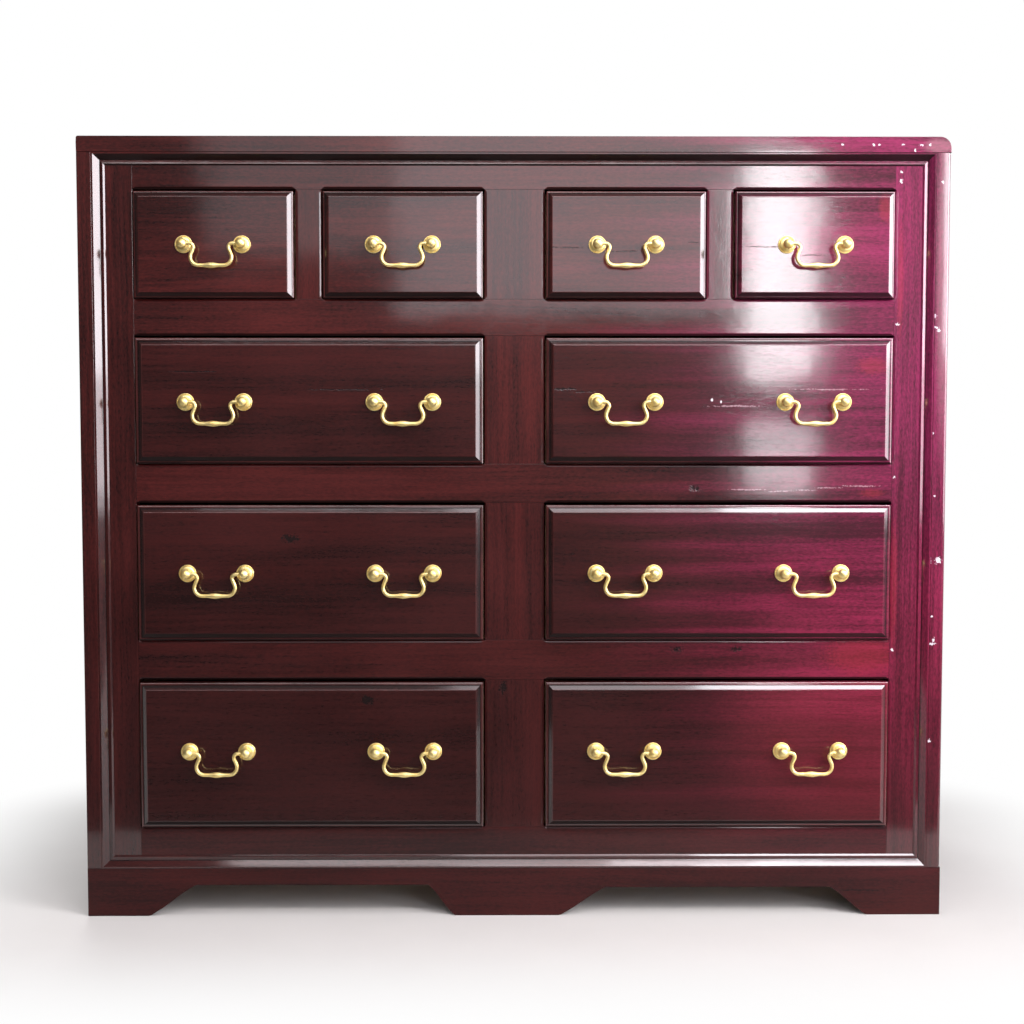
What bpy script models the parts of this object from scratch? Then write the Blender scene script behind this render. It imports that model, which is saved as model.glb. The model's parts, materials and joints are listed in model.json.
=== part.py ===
"""Chest of drawers: a mahogany case with four small drawers over three rows of wide pairs.

Metres, +Z up. The front faces -Y, the case is centred on X and stands on Z = 0. Depths are
measured back from the front edges of the case; the origin is under the middle of the whole
chest, handles included.
"""

import math

import bmesh
import bpy
from mathutils import Matrix

# Case boards
DEPTH = 0.520
TOP_T = 0.022
SIDE_T = 0.020
BACK_T = 0.012
BACK_BOARDS = 6
BACK_GROOVE_W = 0.005
BACK_GROOVE_D = 0.002
TOP_ROUND_LEFT = 0.003
TOP_ROUND_RIGHT = 0.016
DUST_BOARD_T = 0.014
BOTTOM_BOARD_T = 0.018
GUIDE_H = 0.022

# Face frame, set back from the front edges of the case; rows run from top to bottom
FRAME_RECESS = 0.009
FRAME_T = 0.021
STILE_W = 0.054
CENTRE_MUNTIN_W = 0.083
SMALL_MUNTIN_W = 0.036
SMALL_OPENING_W = 0.225
ROW_OPENING_H = (0.151, 0.1785, 0.1935, 0.210)
RAIL_H = (0.050, 0.0535, 0.0555)
TOP_RAIL_H = 0.049
BOTTOM_RAIL_H = 0.057
FRAME_ARRIS = 0.0008

# Mitred moulding round the face frame
MOULD_OVOLO_W = 0.0085
MOULD_OVOLO_H = 0.0045
MOULD_QUIRK = 0.0012
MOULD_BEAD_W = 0.0046
MOULD_BEAD_H = 0.0016
MOULD_LAND = 0.0012

# Base board and the feet cut into it and into the case sides
BASE_H = 0.068
BASE_T = 0.022
LEFT_CUT_H = 0.044
RIGHT_CUT_H = 0.040
FOOT_SWING = 0.35
LEFT_TOE = 0.085
LEFT_RUN = 0.069
MIDDLE_TOE = 0.146
MIDDLE_TOE_SHIFT = -0.011
MIDDLE_RUN_LEFT = 0.038
MIDDLE_RUN_RIGHT = 0.068
RIGHT_TOE = 0.102
RIGHT_RUN = 0.055
SIDE_FRONT_TOE = 0.110
SIDE_REAR_TOE = 0.095
SIDE_RUN = 0.060
SIDE_CUT_H = 0.044

# Drawers
FRONT_T = 0.022
FRONT_PROUD = 0.011
FRONT_SIDE_GAP = 0.0025
FRONT_TOP_GAP = 0.0035
FRONT_BOTTOM_GAP = 0.0008
LIP_W = (0.0025, 0.0045, 0.0045, 0.0045)
LIP_H = 0.002
BEVEL_W = 0.0055
BEVEL_H = 0.004
DRAWER_SIDE_T = 0.012
DRAWER_BACK_T = 0.012
DRAWER_BOTTOM_T = 0.008
DRAWER_BOTTOM_RAISE = 0.008
DRAWER_SIDE_CLEAR = 0.0015
DRAWER_TOP_CLEAR = 0.004
DRAWER_BACK_CLEAR = 0.0417

# Handles: turned brass posts with a ball head, and a swan-neck bail hung between two of them
POST_SPACING = 0.080
ROSETTE_R = 0.0125
ROSETTE_T = 0.0036
ROSETTE_EDGE_T = 0.0014
NECK_R = 0.0042
BALL_R = 0.0068
BALL_OUT = 0.0145
POST_EMBED = 0.003
BAIL_R = 0.0023
BAIL_GRIP_R = 0.0037
BAIL_GRIP_LENGTH = 0.017
BAIL_GRIP_TAPER = 0.004
BAIL_DROP = 0.030
BAIL_BAR = 0.042
BAIL_CORNER_R = 0.0085
BAIL_NECK_R = 0.0055
BAIL_NECK_IN = 0.016
PIN_PAST_CENTRE = 0.0005
PIN_CLEAR = 0.0004
HANDLE_RISE = (-0.0015, -0.003, -0.0015, 0.005)

# Fit and fineness
JOINT_GAP = 0.0003
ARC_STEPS = 4
FOOT_STEPS = 6
BALL_STEPS = 5
POST_SIDES = 8
BORE_SIDES = 8
CUT_MARGIN = 0.010
MERGE_DISTANCE = 0.00001
SHARP_ANGLE = math.radians(40)

# Finishes: colour, roughness, metallic
MAHOGANY = ((0.085, 0.022, 0.020), 0.22, 0.0)
DRAWER_LINING = ((0.42, 0.27, 0.15), 0.60, 0.0)
BACK_WOOD = ((0.20, 0.11, 0.06), 0.70, 0.0)
BRASS = ((0.86, 0.62, 0.20), 0.22, 1.0)

# Widths across the front, from the middle outwards
INNER_X = CENTRE_MUNTIN_W / 2
OUTER_X = INNER_X + 2 * SMALL_OPENING_W + SMALL_MUNTIN_W
INSIDE_X = OUTER_X + STILE_W
HALF_WIDTH = INSIDE_X + SIDE_T
SMALL_MUNTIN_X = INNER_X + SMALL_OPENING_W + SMALL_MUNTIN_W / 2

# Depths and where they fall along Y
FIELD_DEPTH = FRAME_RECESS - FRONT_PROUD
HANDLE_REACH = BALL_OUT + BALL_R - FIELD_DEPTH
FRONT_Y = (HANDLE_REACH - DEPTH) / 2
FRAME_BACK = FRAME_RECESS + FRAME_T
BACK_FACE = DEPTH - BACK_T
DRAWER_FACE = FIELD_DEPTH + FRONT_T

# Heights, stacked up from the floor
FLOOR_OF_ROW = [0.0] * len(ROW_OPENING_H)
level = BASE_H + BOTTOM_RAIL_H
for row in reversed(range(len(ROW_OPENING_H))):
    FLOOR_OF_ROW[row] = level
    level += ROW_OPENING_H[row] + (RAIL_H[row - 1] if row else TOP_RAIL_H)
UNDER_TOP = level
HEIGHT = UNDER_TOP + TOP_T

for old in list(bpy.data.objects):
    bpy.data.objects.remove(old, do_unlink=True)
PARTS = bpy.data.collections.new("chest_of_drawers")
CUTTERS = bpy.data.collections.new("cutters")
bpy.context.scene.collection.children.link(PARTS)
bpy.context.scene.collection.children.link(CUTTERS)


def finish(data, look):
    """Gives a mesh or curve its own material in the given colour, roughness and metallic value."""
    colour, roughness, metallic = look
    material = bpy.data.materials.new(data.name + "_finish")
    material.use_nodes = True
    shader = material.node_tree.nodes["Principled BSDF"]
    shader.inputs["Base Color"].default_value = (*colour, 1.0)
    shader.inputs["Roughness"].default_value = roughness
    shader.inputs["Metallic"].default_value = metallic
    material.diffuse_color = (*colour, 1.0)
    data.materials.clear()
    data.materials.append(material)


def add(name, data):
    """A visible piece of the chest."""
    obj = bpy.data.objects.new(name, data)
    PARTS.objects.link(obj)
    return obj


def add_helper(name, data):
    """A cutter, or a shape that is joined to a piece."""
    obj = bpy.data.objects.new(name, data)
    obj.hide_render = True
    obj.display_type = "WIRE"
    CUTTERS.objects.link(obj)
    return obj


def boolean(obj, other, operation):
    modifier = obj.modifiers.new(operation.lower(), "BOOLEAN")
    modifier.operation = operation
    modifier.solver = "EXACT"
    modifier.material_mode = "TRANSFER"
    modifier.object = other


def block_mesh(name, size):
    """A box of the given size, centred on its own origin."""
    mesh = bpy.data.meshes.new(name)
    shape = bmesh.new()
    bmesh.ops.create_cube(shape, size=1.0, matrix=Matrix.Diagonal((*size, 1.0)))
    shape.to_mesh(mesh)
    shape.free()
    return mesh


def span(low, high):
    """Middle and length of a stretch."""
    return (low + high) / 2, high - low


def cutter_block(name, xs, ys, zs):
    (x, width), (y, depth), (z, height) = span(*xs), span(*ys), span(*zs)
    cutter = add_helper(name, block_mesh(name, (width, depth, height)))
    cutter.location = (x, y, z)
    return cutter


def frame_member(name, xs, zs):
    """A piece of the face frame, with eased edges."""
    (x, width), (z, height) = span(*xs), span(*zs)
    y, depth = span(FRONT_Y + FRAME_RECESS, FRONT_Y + FRAME_BACK)
    member = add(name, block_mesh(name, (width, depth, height)))
    finish(member.data, MAHOGANY)
    member.location = (x, y, z)
    bevel = member.modifiers.new("arris", "BEVEL")
    bevel.width = FRAME_ARRIS
    bevel.segments = 1
    return member


def outline_solid(name, points, thickness, look):
    """A flat outline extruded by its thickness, half each way."""
    curve = bpy.data.curves.new(name, "CURVE")
    curve.dimensions = "2D"
    curve.fill_mode = "BOTH"
    curve.extrude = thickness / 2
    spline = curve.splines.new("POLY")
    spline.points.add(len(points) - 1)
    for point, (x, y) in zip(spline.points, points):
        point.co = (x, y, 0.0, 1.0)
    spline.use_cyclic_u = True
    finish(curve, look)
    return add(name, curve)


def front_outline_solid(name, points, depths, look):
    """An outline in X and Z, extruded from the first depth to the second."""
    middle, thickness = span(*depths)
    solid = outline_solid(name, points, thickness, look)
    solid.rotation_euler = (math.pi / 2, 0.0, 0.0)
    solid.location.y = FRONT_Y + middle
    return solid


def arc(centre, radius, start, end, steps):
    """Points along an arc, angles in degrees, both ends included."""
    angles = [math.radians(start + (end - start) * i / steps) for i in range(steps + 1)]
    return [(centre[0] + radius * math.cos(a), centre[1] + radius * math.sin(a)) for a in angles]


def ogee(start, end):
    """A foot bracket between two points: a straight slope that swings a little at both ends."""
    points = []
    for i in range(FOOT_STEPS + 1):
        t = i / FOOT_STEPS
        rise = t + FOOT_SWING * ((1 - math.cos(math.pi * t)) / 2 - t)
        points.append((start[0] + (end[0] - start[0]) * t, start[1] + (end[1] - start[1]) * rise))
    return points


def make_top_board():
    left = (-HALF_WIDTH + TOP_ROUND_LEFT, HEIGHT - TOP_ROUND_LEFT)
    right = (HALF_WIDTH - TOP_ROUND_RIGHT, HEIGHT - TOP_ROUND_RIGHT)
    points = [(-HALF_WIDTH, UNDER_TOP), (HALF_WIDTH, UNDER_TOP)]
    points += arc(right, TOP_ROUND_RIGHT, 0, 90, ARC_STEPS)
    points += arc(left, TOP_ROUND_LEFT, 90, 180, ARC_STEPS)
    front_outline_solid("top_board", points, (0.0, DEPTH), MAHOGANY)


def make_side(name, side):
    """A case side that runs to the floor behind the base board, with feet cut into it."""
    base_back = BASE_T + JOINT_GAP
    points = [(base_back, 0.0)]
    points += ogee((SIDE_FRONT_TOE, 0.0), (SIDE_FRONT_TOE + SIDE_RUN, SIDE_CUT_H))
    rear_toe = DEPTH - SIDE_REAR_TOE
    points += ogee((rear_toe - SIDE_RUN, SIDE_CUT_H), (rear_toe, 0.0))
    points += [(DEPTH, 0.0), (DEPTH, UNDER_TOP - JOINT_GAP), (0.0, UNDER_TOP - JOINT_GAP)]
    points += [(0.0, BASE_H + JOINT_GAP), (base_back, BASE_H + JOINT_GAP)]
    board = outline_solid(name, points, SIDE_T, MAHOGANY)
    board.rotation_euler = (math.pi / 2, 0.0, math.pi / 2)
    board.location = (side * (INSIDE_X + SIDE_T / 2), FRONT_Y, 0.0)


def make_back_panel():
    """Upright boards, seen as one panel with a groove outside at each joint."""
    half = INSIDE_X - JOINT_GAP
    inner = FRONT_Y + BACK_FACE
    outer = FRONT_Y + DEPTH
    points = [(-half, inner), (half, inner), (half, outer)]
    for i in reversed(range(1, BACK_BOARDS)):
        joint = -half + 2 * half * i / BACK_BOARDS
        points += [(joint + BACK_GROOVE_W / 2, outer), (joint, outer - BACK_GROOVE_D)]
        points.append((joint - BACK_GROOVE_W / 2, outer))
    points.append((-half, outer))
    low = FLOOR_OF_ROW[-1] - BOTTOM_BOARD_T
    middle, height = span(low, UNDER_TOP - JOINT_GAP)
    panel = outline_solid("back_panel", points, height, BACK_WOOD)
    panel.location.z = middle


def make_drawer_floor(name, row, thickness, guides):
    """A board that a row of drawers runs on, with the guide strips glued to it."""
    top = FLOOR_OF_ROW[row]
    half = INSIDE_X - JOINT_GAP
    points = [(-half, top - thickness), (half, top - thickness)]
    for low, high in reversed(guides):
        if high < half:
            points.append((high, top))
        points += [(high, top + GUIDE_H), (low, top + GUIDE_H)]
        if low > -half:
            points.append((low, top))
    depths = (FRAME_BACK + JOINT_GAP, BACK_FACE - JOINT_GAP)
    front_outline_solid(name, points, depths, DRAWER_LINING)


def make_drawer_floors():
    half = INSIDE_X - JOINT_GAP
    wide_guides = [(-half, -OUTER_X), (-INNER_X, INNER_X), (OUTER_X, half)]
    edge = SMALL_MUNTIN_W / 2
    small = [(x - edge, x + edge) for x in (-SMALL_MUNTIN_X, SMALL_MUNTIN_X)]
    make_drawer_floor("dust_board_1", 0, DUST_BOARD_T, sorted(wide_guides + small))
    make_drawer_floor("dust_board_2", 1, DUST_BOARD_T, wide_guides)
    make_drawer_floor("dust_board_3", 2, DUST_BOARD_T, wide_guides)
    make_drawer_floor("bottom_board", 3, BOTTOM_BOARD_T, wide_guides)


def make_face_frame():
    """Full-height stiles, rails between them, and short muntins between the rails."""
    low, high = BASE_H + JOINT_GAP, UNDER_TOP - JOINT_GAP
    frame_member("left_stile", (-INSIDE_X + JOINT_GAP, -OUTER_X), (low, high))
    frame_member("right_stile", (OUTER_X, INSIDE_X - JOINT_GAP), (low, high))
    rail_x = (-OUTER_X + JOINT_GAP, OUTER_X - JOINT_GAP)
    frame_member("bottom_rail", rail_x, (low, FLOOR_OF_ROW[-1]))
    frame_member("top_rail", rail_x, (FLOOR_OF_ROW[0] + ROW_OPENING_H[0], high))
    for i, height in enumerate(RAIL_H):
        frame_member(f"rail_{i + 1}", rail_x, (FLOOR_OF_ROW[i] - height, FLOOR_OF_ROW[i]))
    for i, floor in enumerate(FLOOR_OF_ROW):
        zs = (floor + JOINT_GAP, floor + ROW_OPENING_H[i] - JOINT_GAP)
        frame_member(f"centre_muntin_{i + 1}", (-INNER_X, INNER_X), zs)
    zs = (FLOOR_OF_ROW[0] + JOINT_GAP, FLOOR_OF_ROW[0] + ROW_OPENING_H[0] - JOINT_GAP)
    edge = SMALL_MUNTIN_W / 2
    for name, x in (("left", -SMALL_MUNTIN_X), ("right", SMALL_MUNTIN_X)):
        frame_member(f"{name}_small_muntin", (x - edge, x + edge), zs)


def moulded_plate(name, width, height, thickness, steps):
    """A plate facing -Y whose front edge is worked to a profile of (inset, rise) steps."""
    mesh = block_mesh(name, (width, thickness, height))
    shape = bmesh.new()
    shape.from_mesh(mesh)
    front = min(shape.faces, key=lambda face: face.calc_center_median().y)
    for inset, rise in steps:
        bmesh.ops.inset_individual(
            shape, faces=[front], thickness=inset, depth=rise, use_even_offset=True
        )
    shape.to_mesh(mesh)
    shape.free()
    return mesh


def profile_steps(points):
    """Turns a profile of (across, up) points into steps from each point to the next."""
    return [(b[0] - a[0], b[1] - a[1]) for a, b in zip(points, points[1:])]


def make_front_moulding():
    """Ovolo, quirk and bead, mitred round the face frame."""
    angles = [math.pi / 2 * i / ARC_STEPS for i in range(ARC_STEPS + 1)]
    profile = [(MOULD_OVOLO_W * math.sin(a), MOULD_OVOLO_H * (math.cos(a) - 1)) for a in angles]
    quirk_level = -MOULD_OVOLO_H - MOULD_QUIRK
    bead_start = MOULD_OVOLO_W + MOULD_QUIRK
    profile.append((MOULD_OVOLO_W, quirk_level))
    for i in range(ARC_STEPS + 1):
        t = i / ARC_STEPS
        bead_level = quirk_level + MOULD_BEAD_H * math.sin(math.pi * t)
        profile.append((bead_start + MOULD_BEAD_W * t, bead_level))
    half = INSIDE_X - JOINT_GAP
    middle, height = span(BASE_H + JOINT_GAP, UNDER_TOP - JOINT_GAP)
    thickness = FRAME_RECESS - JOINT_GAP
    mesh = moulded_plate("front_moulding", 2 * half, height, thickness, profile_steps(profile))
    finish(mesh, MAHOGANY)
    moulding = add("front_moulding", mesh)
    moulding.location = (0.0, FRONT_Y + thickness / 2, middle)
    rim = bead_start + MOULD_BEAD_W + MOULD_LAND
    cutter = cutter_block(
        "moulding_opening",
        (rim - half, half - rim),
        (FRONT_Y - CUT_MARGIN, FRONT_Y + FRAME_RECESS + CUT_MARGIN),
        (middle - height / 2 + rim, middle + height / 2 - rim),
    )
    boolean(moulding, cutter, "DIFFERENCE")


def make_base_front():
    """The base board, with two cut-outs that leave a foot at each end and one in the middle."""
    middle_low = MIDDLE_TOE_SHIFT - MIDDLE_TOE / 2
    middle_high = MIDDLE_TOE_SHIFT + MIDDLE_TOE / 2
    left_toe = -HALF_WIDTH + LEFT_TOE
    right_toe = HALF_WIDTH - RIGHT_TOE
    points = [(-HALF_WIDTH, 0.0)]
    points += ogee((left_toe, 0.0), (left_toe + LEFT_RUN, LEFT_CUT_H))
    points += ogee((middle_low - MIDDLE_RUN_LEFT, LEFT_CUT_H), (middle_low, 0.0))
    points += ogee((middle_high, 0.0), (middle_high + MIDDLE_RUN_RIGHT, RIGHT_CUT_H))
    points += ogee((right_toe - RIGHT_RUN, RIGHT_CUT_H), (right_toe, 0.0))
    points += [(HALF_WIDTH, 0.0), (HALF_WIDTH, BASE_H), (-HALF_WIDTH, BASE_H)]
    front_outline_solid("base_front", points, (0.0, BASE_T), MAHOGANY)


def post_profile():
    """Radius and height of a handle post, from the top of its ball down to its root."""
    waist = math.degrees(math.asin(NECK_R / BALL_R))
    ball = arc((0.0, BALL_OUT), BALL_R, 90, waist - 90, BALL_STEPS)
    ball[0] = (0.0, BALL_OUT + BALL_R)
    rosette = [(NECK_R, ROSETTE_T), (ROSETTE_R, ROSETTE_EDGE_T), (ROSETTE_R, -POST_EMBED)]
    return ball + rosette + [(0.0, -POST_EMBED)]


def make_post_mesh():
    """A turned post with a blind cross bore for the end of a bail, opening towards +X."""
    points = post_profile()
    mesh = bpy.data.meshes.new("post_profile")
    shape = bmesh.new()
    line = [shape.verts.new((radius, 0.0, height)) for radius, height in points]
    for a, b in zip(line, line[1:]):
        shape.edges.new((a, b))
    shape.to_mesh(mesh)
    shape.free()
    post = add_helper("post_turning", mesh)
    screw = post.modifiers.new("turn", "SCREW")
    screw.steps = POST_SIDES
    screw.render_steps = POST_SIDES
    screw.use_merge_vertices = True
    screw.merge_threshold = MERGE_DISTANCE
    depth = PIN_PAST_CENTRE + PIN_CLEAR
    length = depth + BALL_R + CUT_MARGIN
    radius = (BAIL_R + PIN_CLEAR) / math.cos(math.pi / BORE_SIDES)
    bore_mesh = bpy.data.meshes.new("post_bore")
    shape = bmesh.new()
    place = Matrix.Translation((length / 2 - depth, 0.0, BALL_OUT))
    place @= Matrix.Rotation(math.pi / 2, 4, "Y")
    bmesh.ops.create_cone(
        shape, cap_ends=True, segments=BORE_SIDES, radius1=radius, radius2=radius,
        depth=length, matrix=place,
    )
    shape.to_mesh(bore_mesh)
    shape.free()
    bore = add_helper("post_bore", bore_mesh)
    boolean(post, bore, "DIFFERENCE")
    bpy.context.view_layer.update()
    graph = bpy.context.evaluated_depsgraph_get()
    made = bpy.data.meshes.new_from_object(post.evaluated_get(graph))
    made.name = "handle_post"
    made.shade_smooth()
    made.set_sharp_from_angle(angle=SHARP_ANGLE)
    for helper in (post, bore):
        bpy.data.objects.remove(helper, do_unlink=True)
    return made


def bail_half():
    """Centreline and radius of half a bail, from the middle of its grip to its pin."""
    corner = (BAIL_BAR / 2, -BAIL_DROP + BAIL_CORNER_R)
    neck = (POST_SPACING / 2 - BAIL_NECK_IN + BAIL_NECK_R, -BAIL_NECK_R)
    across, up = neck[0] - corner[0], neck[1] - corner[1]
    lean = math.degrees(math.asin((BAIL_CORNER_R + BAIL_NECK_R) / math.hypot(across, up)))
    heading = math.degrees(math.atan2(up, across)) + lean
    grip = BAIL_GRIP_LENGTH / 2
    path = [(0.0, -BAIL_DROP, BAIL_GRIP_R), (grip - BAIL_GRIP_TAPER, -BAIL_DROP, BAIL_GRIP_R)]
    path.append((grip, -BAIL_DROP, BAIL_R))
    turns = arc(corner, BAIL_CORNER_R, -90, heading - 90, ARC_STEPS)
    turns += arc(neck, BAIL_NECK_R, heading + 90, 90, ARC_STEPS)
    turns.append((POST_SPACING / 2 + PIN_PAST_CENTRE, 0.0))
    return path + [(x, z, BAIL_R) for x, z in turns]


def make_bail_curve():
    half = bail_half()
    path = [(-x, z, radius) for x, z, radius in reversed(half[1:])] + half
    curve = bpy.data.curves.new("bail", "CURVE")
    curve.dimensions = "3D"
    curve.bevel_depth = BAIL_R
    curve.bevel_resolution = 1
    curve.use_fill_caps = True
    spline = curve.splines.new("POLY")
    spline.points.add(len(path) - 1)
    for point, (x, z, radius) in zip(spline.points, path):
        point.co = (x, 0.0, z, 1.0)
        point.radius = radius / BAIL_R
    return curve


def drawer_front_mesh(name, width, height, lip_w):
    """A front with a rounded lip and a bevel round its flat raised field."""
    angles = [math.pi / 2 * i / ARC_STEPS for i in range(ARC_STEPS + 1)]
    profile = [(lip_w * (1 - math.cos(a)), LIP_H * math.sin(a)) for a in angles]
    profile.append((lip_w + BEVEL_W, LIP_H + BEVEL_H))
    thickness = FRONT_T - LIP_H - BEVEL_H
    return moulded_plate(name, width, height, thickness, profile_steps(profile))


def add_post(front, name, place, side, post_mesh):
    """Joins a post to a drawer front. The bore of the post faces the handle's middle."""
    post = add_helper(name, post_mesh)
    outwards = Matrix.Rotation(math.pi / 2, 4, "X")
    turn = Matrix.Rotation(0.0 if side < 0 else math.pi, 4, "Y")
    post.matrix_world = Matrix.Translation(place) @ turn @ outwards
    boolean(front, post, "UNION")


def make_drawer(name, row, xs, handle_xs, bail_names, post_mesh, bail_curve):
    """A drawer: moulded front with its posts, open box behind it, and a bail for each handle."""
    middle_x, opening_w = span(*xs)
    floor = FLOOR_OF_ROW[row]
    middle_z = floor + ROW_OPENING_H[row] / 2
    runner = bpy.data.objects.new(name, None)
    runner.location = (middle_x, FRONT_Y + FIELD_DEPTH, middle_z)
    PARTS.objects.link(runner)

    width = opening_w - 2 * FRONT_SIDE_GAP
    height = ROW_OPENING_H[row] - FRONT_BOTTOM_GAP - FRONT_TOP_GAP
    mesh = drawer_front_mesh(name + "_front", width, height, LIP_W[row])
    finish(mesh, MAHOGANY)
    front = add(name + "_front", mesh)
    front.parent = runner
    front.location.y = (FRONT_T + LIP_H + BEVEL_H) / 2
    front.location.z = (FRONT_BOTTOM_GAP - FRONT_TOP_GAP) / 2
    axis_z = middle_z + HANDLE_RISE[row]
    for handle_x, bail_name in zip(handle_xs, bail_names):
        for side in (-1, 1):
            place = (handle_x + side * POST_SPACING / 2, FRONT_Y + FIELD_DEPTH, axis_z)
            add_post(front, f"{bail_name}_post_{side}", place, side, post_mesh)
        bail = add(bail_name, bail_curve)
        bail.parent = runner
        bail.location = (handle_x - middle_x, -BALL_OUT, axis_z - middle_z)
    make_drawer_box(name + "_box", runner, opening_w, ROW_OPENING_H[row])


def make_drawer_box(name, runner, opening_w, opening_h):
    """Sides, back and bottom of a drawer; the sides reach below the bottom to run on."""
    width = opening_w - 2 * DRAWER_SIDE_CLEAR
    low = runner.location.z - opening_h / 2 + JOINT_GAP
    high = low + opening_h - JOINT_GAP - DRAWER_TOP_CLEAR
    near = FRONT_Y + DRAWER_FACE + JOINT_GAP
    far = FRONT_Y + BACK_FACE - DRAWER_BACK_CLEAR
    (middle_y, depth), (middle_z, height) = span(near, far), span(low, high)
    box = add(name, block_mesh(name, (width, depth, height)))
    finish(box.data, DRAWER_LINING)
    box.parent = runner
    box.location = (0.0, middle_y - runner.location.y, middle_z - runner.location.z)
    inside = width / 2 - DRAWER_SIDE_T
    xs = (runner.location.x - inside, runner.location.x + inside)
    floor = low + DRAWER_BOTTOM_RAISE
    hollow = cutter_block(
        name + "_hollow", xs,
        (near - CUT_MARGIN, far - DRAWER_BACK_T),
        (floor + DRAWER_BOTTOM_T, high + CUT_MARGIN),
    )
    under = cutter_block(
        name + "_under", xs, (near - CUT_MARGIN, far + CUT_MARGIN), (low - CUT_MARGIN, floor)
    )
    boolean(box, hollow, "DIFFERENCE")
    boolean(box, under, "DIFFERENCE")


def make_drawers():
    post_mesh = make_post_mesh()
    bail_curve = make_bail_curve()
    for data in (post_mesh, bail_curve):
        finish(data, BRASS)
    small_low = (-OUTER_X, -INNER_X - SMALL_OPENING_W, INNER_X, OUTER_X - SMALL_OPENING_W)
    for i, low in enumerate(small_low):
        name = f"small_drawer_{i + 1}"
        xs = (low, low + SMALL_OPENING_W)
        make_drawer(name, 0, xs, [span(*xs)[0]], [name + "_bail"], post_mesh, bail_curve)
    handle_shift = (SMALL_OPENING_W + SMALL_MUNTIN_W) / 2
    for row, level_name in enumerate(("upper", "middle", "lower"), start=1):
        for side_name, xs in (("left", (-OUTER_X, -INNER_X)), ("right", (INNER_X, OUTER_X))):
            name = f"{level_name}_{side_name}_drawer"
            middle = span(*xs)[0]
            handle_xs = [middle - handle_shift, middle + handle_shift]
            bails = [name + "_bail_left", name + "_bail_right"]
            make_drawer(name, row, xs, handle_xs, bails, post_mesh, bail_curve)


make_top_board()
make_side("left_side", -1)
make_side("right_side", 1)
make_back_panel()
make_drawer_floors()
make_face_frame()
make_front_moulding()
make_base_front()
make_drawers()
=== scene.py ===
"""Looks of a glossy mahogany chest of drawers with brass bail handles.

Metres, +Z up, front towards -Y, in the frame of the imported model. Each piece takes its place
from the node that it stands for.
"""

import json
import random
from math import acos, asin, atan2, cos, pi, radians, sin, tan

import bmesh
import bpy
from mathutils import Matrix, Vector

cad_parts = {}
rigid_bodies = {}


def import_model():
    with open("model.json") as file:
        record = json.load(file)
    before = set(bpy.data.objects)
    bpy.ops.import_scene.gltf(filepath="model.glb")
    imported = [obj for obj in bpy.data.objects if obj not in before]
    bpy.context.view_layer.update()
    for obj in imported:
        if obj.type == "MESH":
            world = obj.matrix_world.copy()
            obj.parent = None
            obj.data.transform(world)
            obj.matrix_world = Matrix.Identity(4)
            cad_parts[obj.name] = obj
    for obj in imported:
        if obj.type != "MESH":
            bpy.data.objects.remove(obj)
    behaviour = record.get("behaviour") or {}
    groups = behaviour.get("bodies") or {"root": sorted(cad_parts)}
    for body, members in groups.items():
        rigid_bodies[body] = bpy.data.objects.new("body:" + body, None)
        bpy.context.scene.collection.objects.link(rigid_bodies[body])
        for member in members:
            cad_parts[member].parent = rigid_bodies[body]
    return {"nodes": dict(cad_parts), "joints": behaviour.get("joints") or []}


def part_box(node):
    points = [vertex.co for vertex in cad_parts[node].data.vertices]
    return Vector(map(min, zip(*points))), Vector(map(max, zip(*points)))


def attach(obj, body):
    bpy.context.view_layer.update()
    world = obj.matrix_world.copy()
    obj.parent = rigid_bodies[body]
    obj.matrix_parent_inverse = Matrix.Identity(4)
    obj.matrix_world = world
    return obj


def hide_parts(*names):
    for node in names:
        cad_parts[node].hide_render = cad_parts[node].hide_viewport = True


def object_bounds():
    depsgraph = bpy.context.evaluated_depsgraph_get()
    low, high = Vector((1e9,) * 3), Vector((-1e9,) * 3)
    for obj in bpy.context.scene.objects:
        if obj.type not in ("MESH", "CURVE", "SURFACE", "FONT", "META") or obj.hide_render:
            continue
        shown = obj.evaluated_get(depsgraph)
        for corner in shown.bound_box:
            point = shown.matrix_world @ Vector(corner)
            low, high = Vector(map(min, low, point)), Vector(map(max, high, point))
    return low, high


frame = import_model()
CAD_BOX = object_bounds()

# Camera
CAMERA_PLACE = (-0.01684, -2.34835, 0.69334)
CAMERA_YAW = -0.00634
CAMERA_DIP = 0.05812
CAMERA_LENS = 53.13

# Eased edges; shares are of a full arris or chamfer
BOARD_ARRIS = 0.0008
OUTER_ARRIS = 0.005
BASE_ARRIS = 0.0003
END_SHARE = 0.7
CHAMFER_W = 0.0036
CHAMFER_H = 0.0013
CHAMFER_BULGE = 0.00008
CHAMFER_RUN_OUT = 0.005
RUN_OUT_PARTS = (0.0, 0.3, 0.6, 1.0)
JOINT_SHARE = 0.03
PLAIN_EDGE_SHARE = 0.3
EDGE_TOLERANCE = 0.001
ARRIS_STEPS = 3
ROUND_STEPS = 6
SHARP_ANGLE = radians(32)
FRONT_SHARP_ANGLE = radians(20)

# What counts as a worn edge, a joint, an inner corner with painted shade, an underside and a top
WORN_FACE_W = 0.002
JOINT_FACE_W = 0.0002
WORN_TURN = radians(2)
TILTED = cos(radians(5))
SHADED_CORNER_TURN = radians(20)
SHADED_CORNER_FACE_W = 0.02
UNDERSIDE = -0.3
TOPSIDE = 0.9

# Outlines read from the nodes
MERGE_DISTANCE = 0.00001
STRAIGHT_ANGLE = radians(1)
FACING = 0.99
GENTLE_TURN = radians(30)
SHORT_RUN = 0.03
RUN_PARTS = 3

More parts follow.
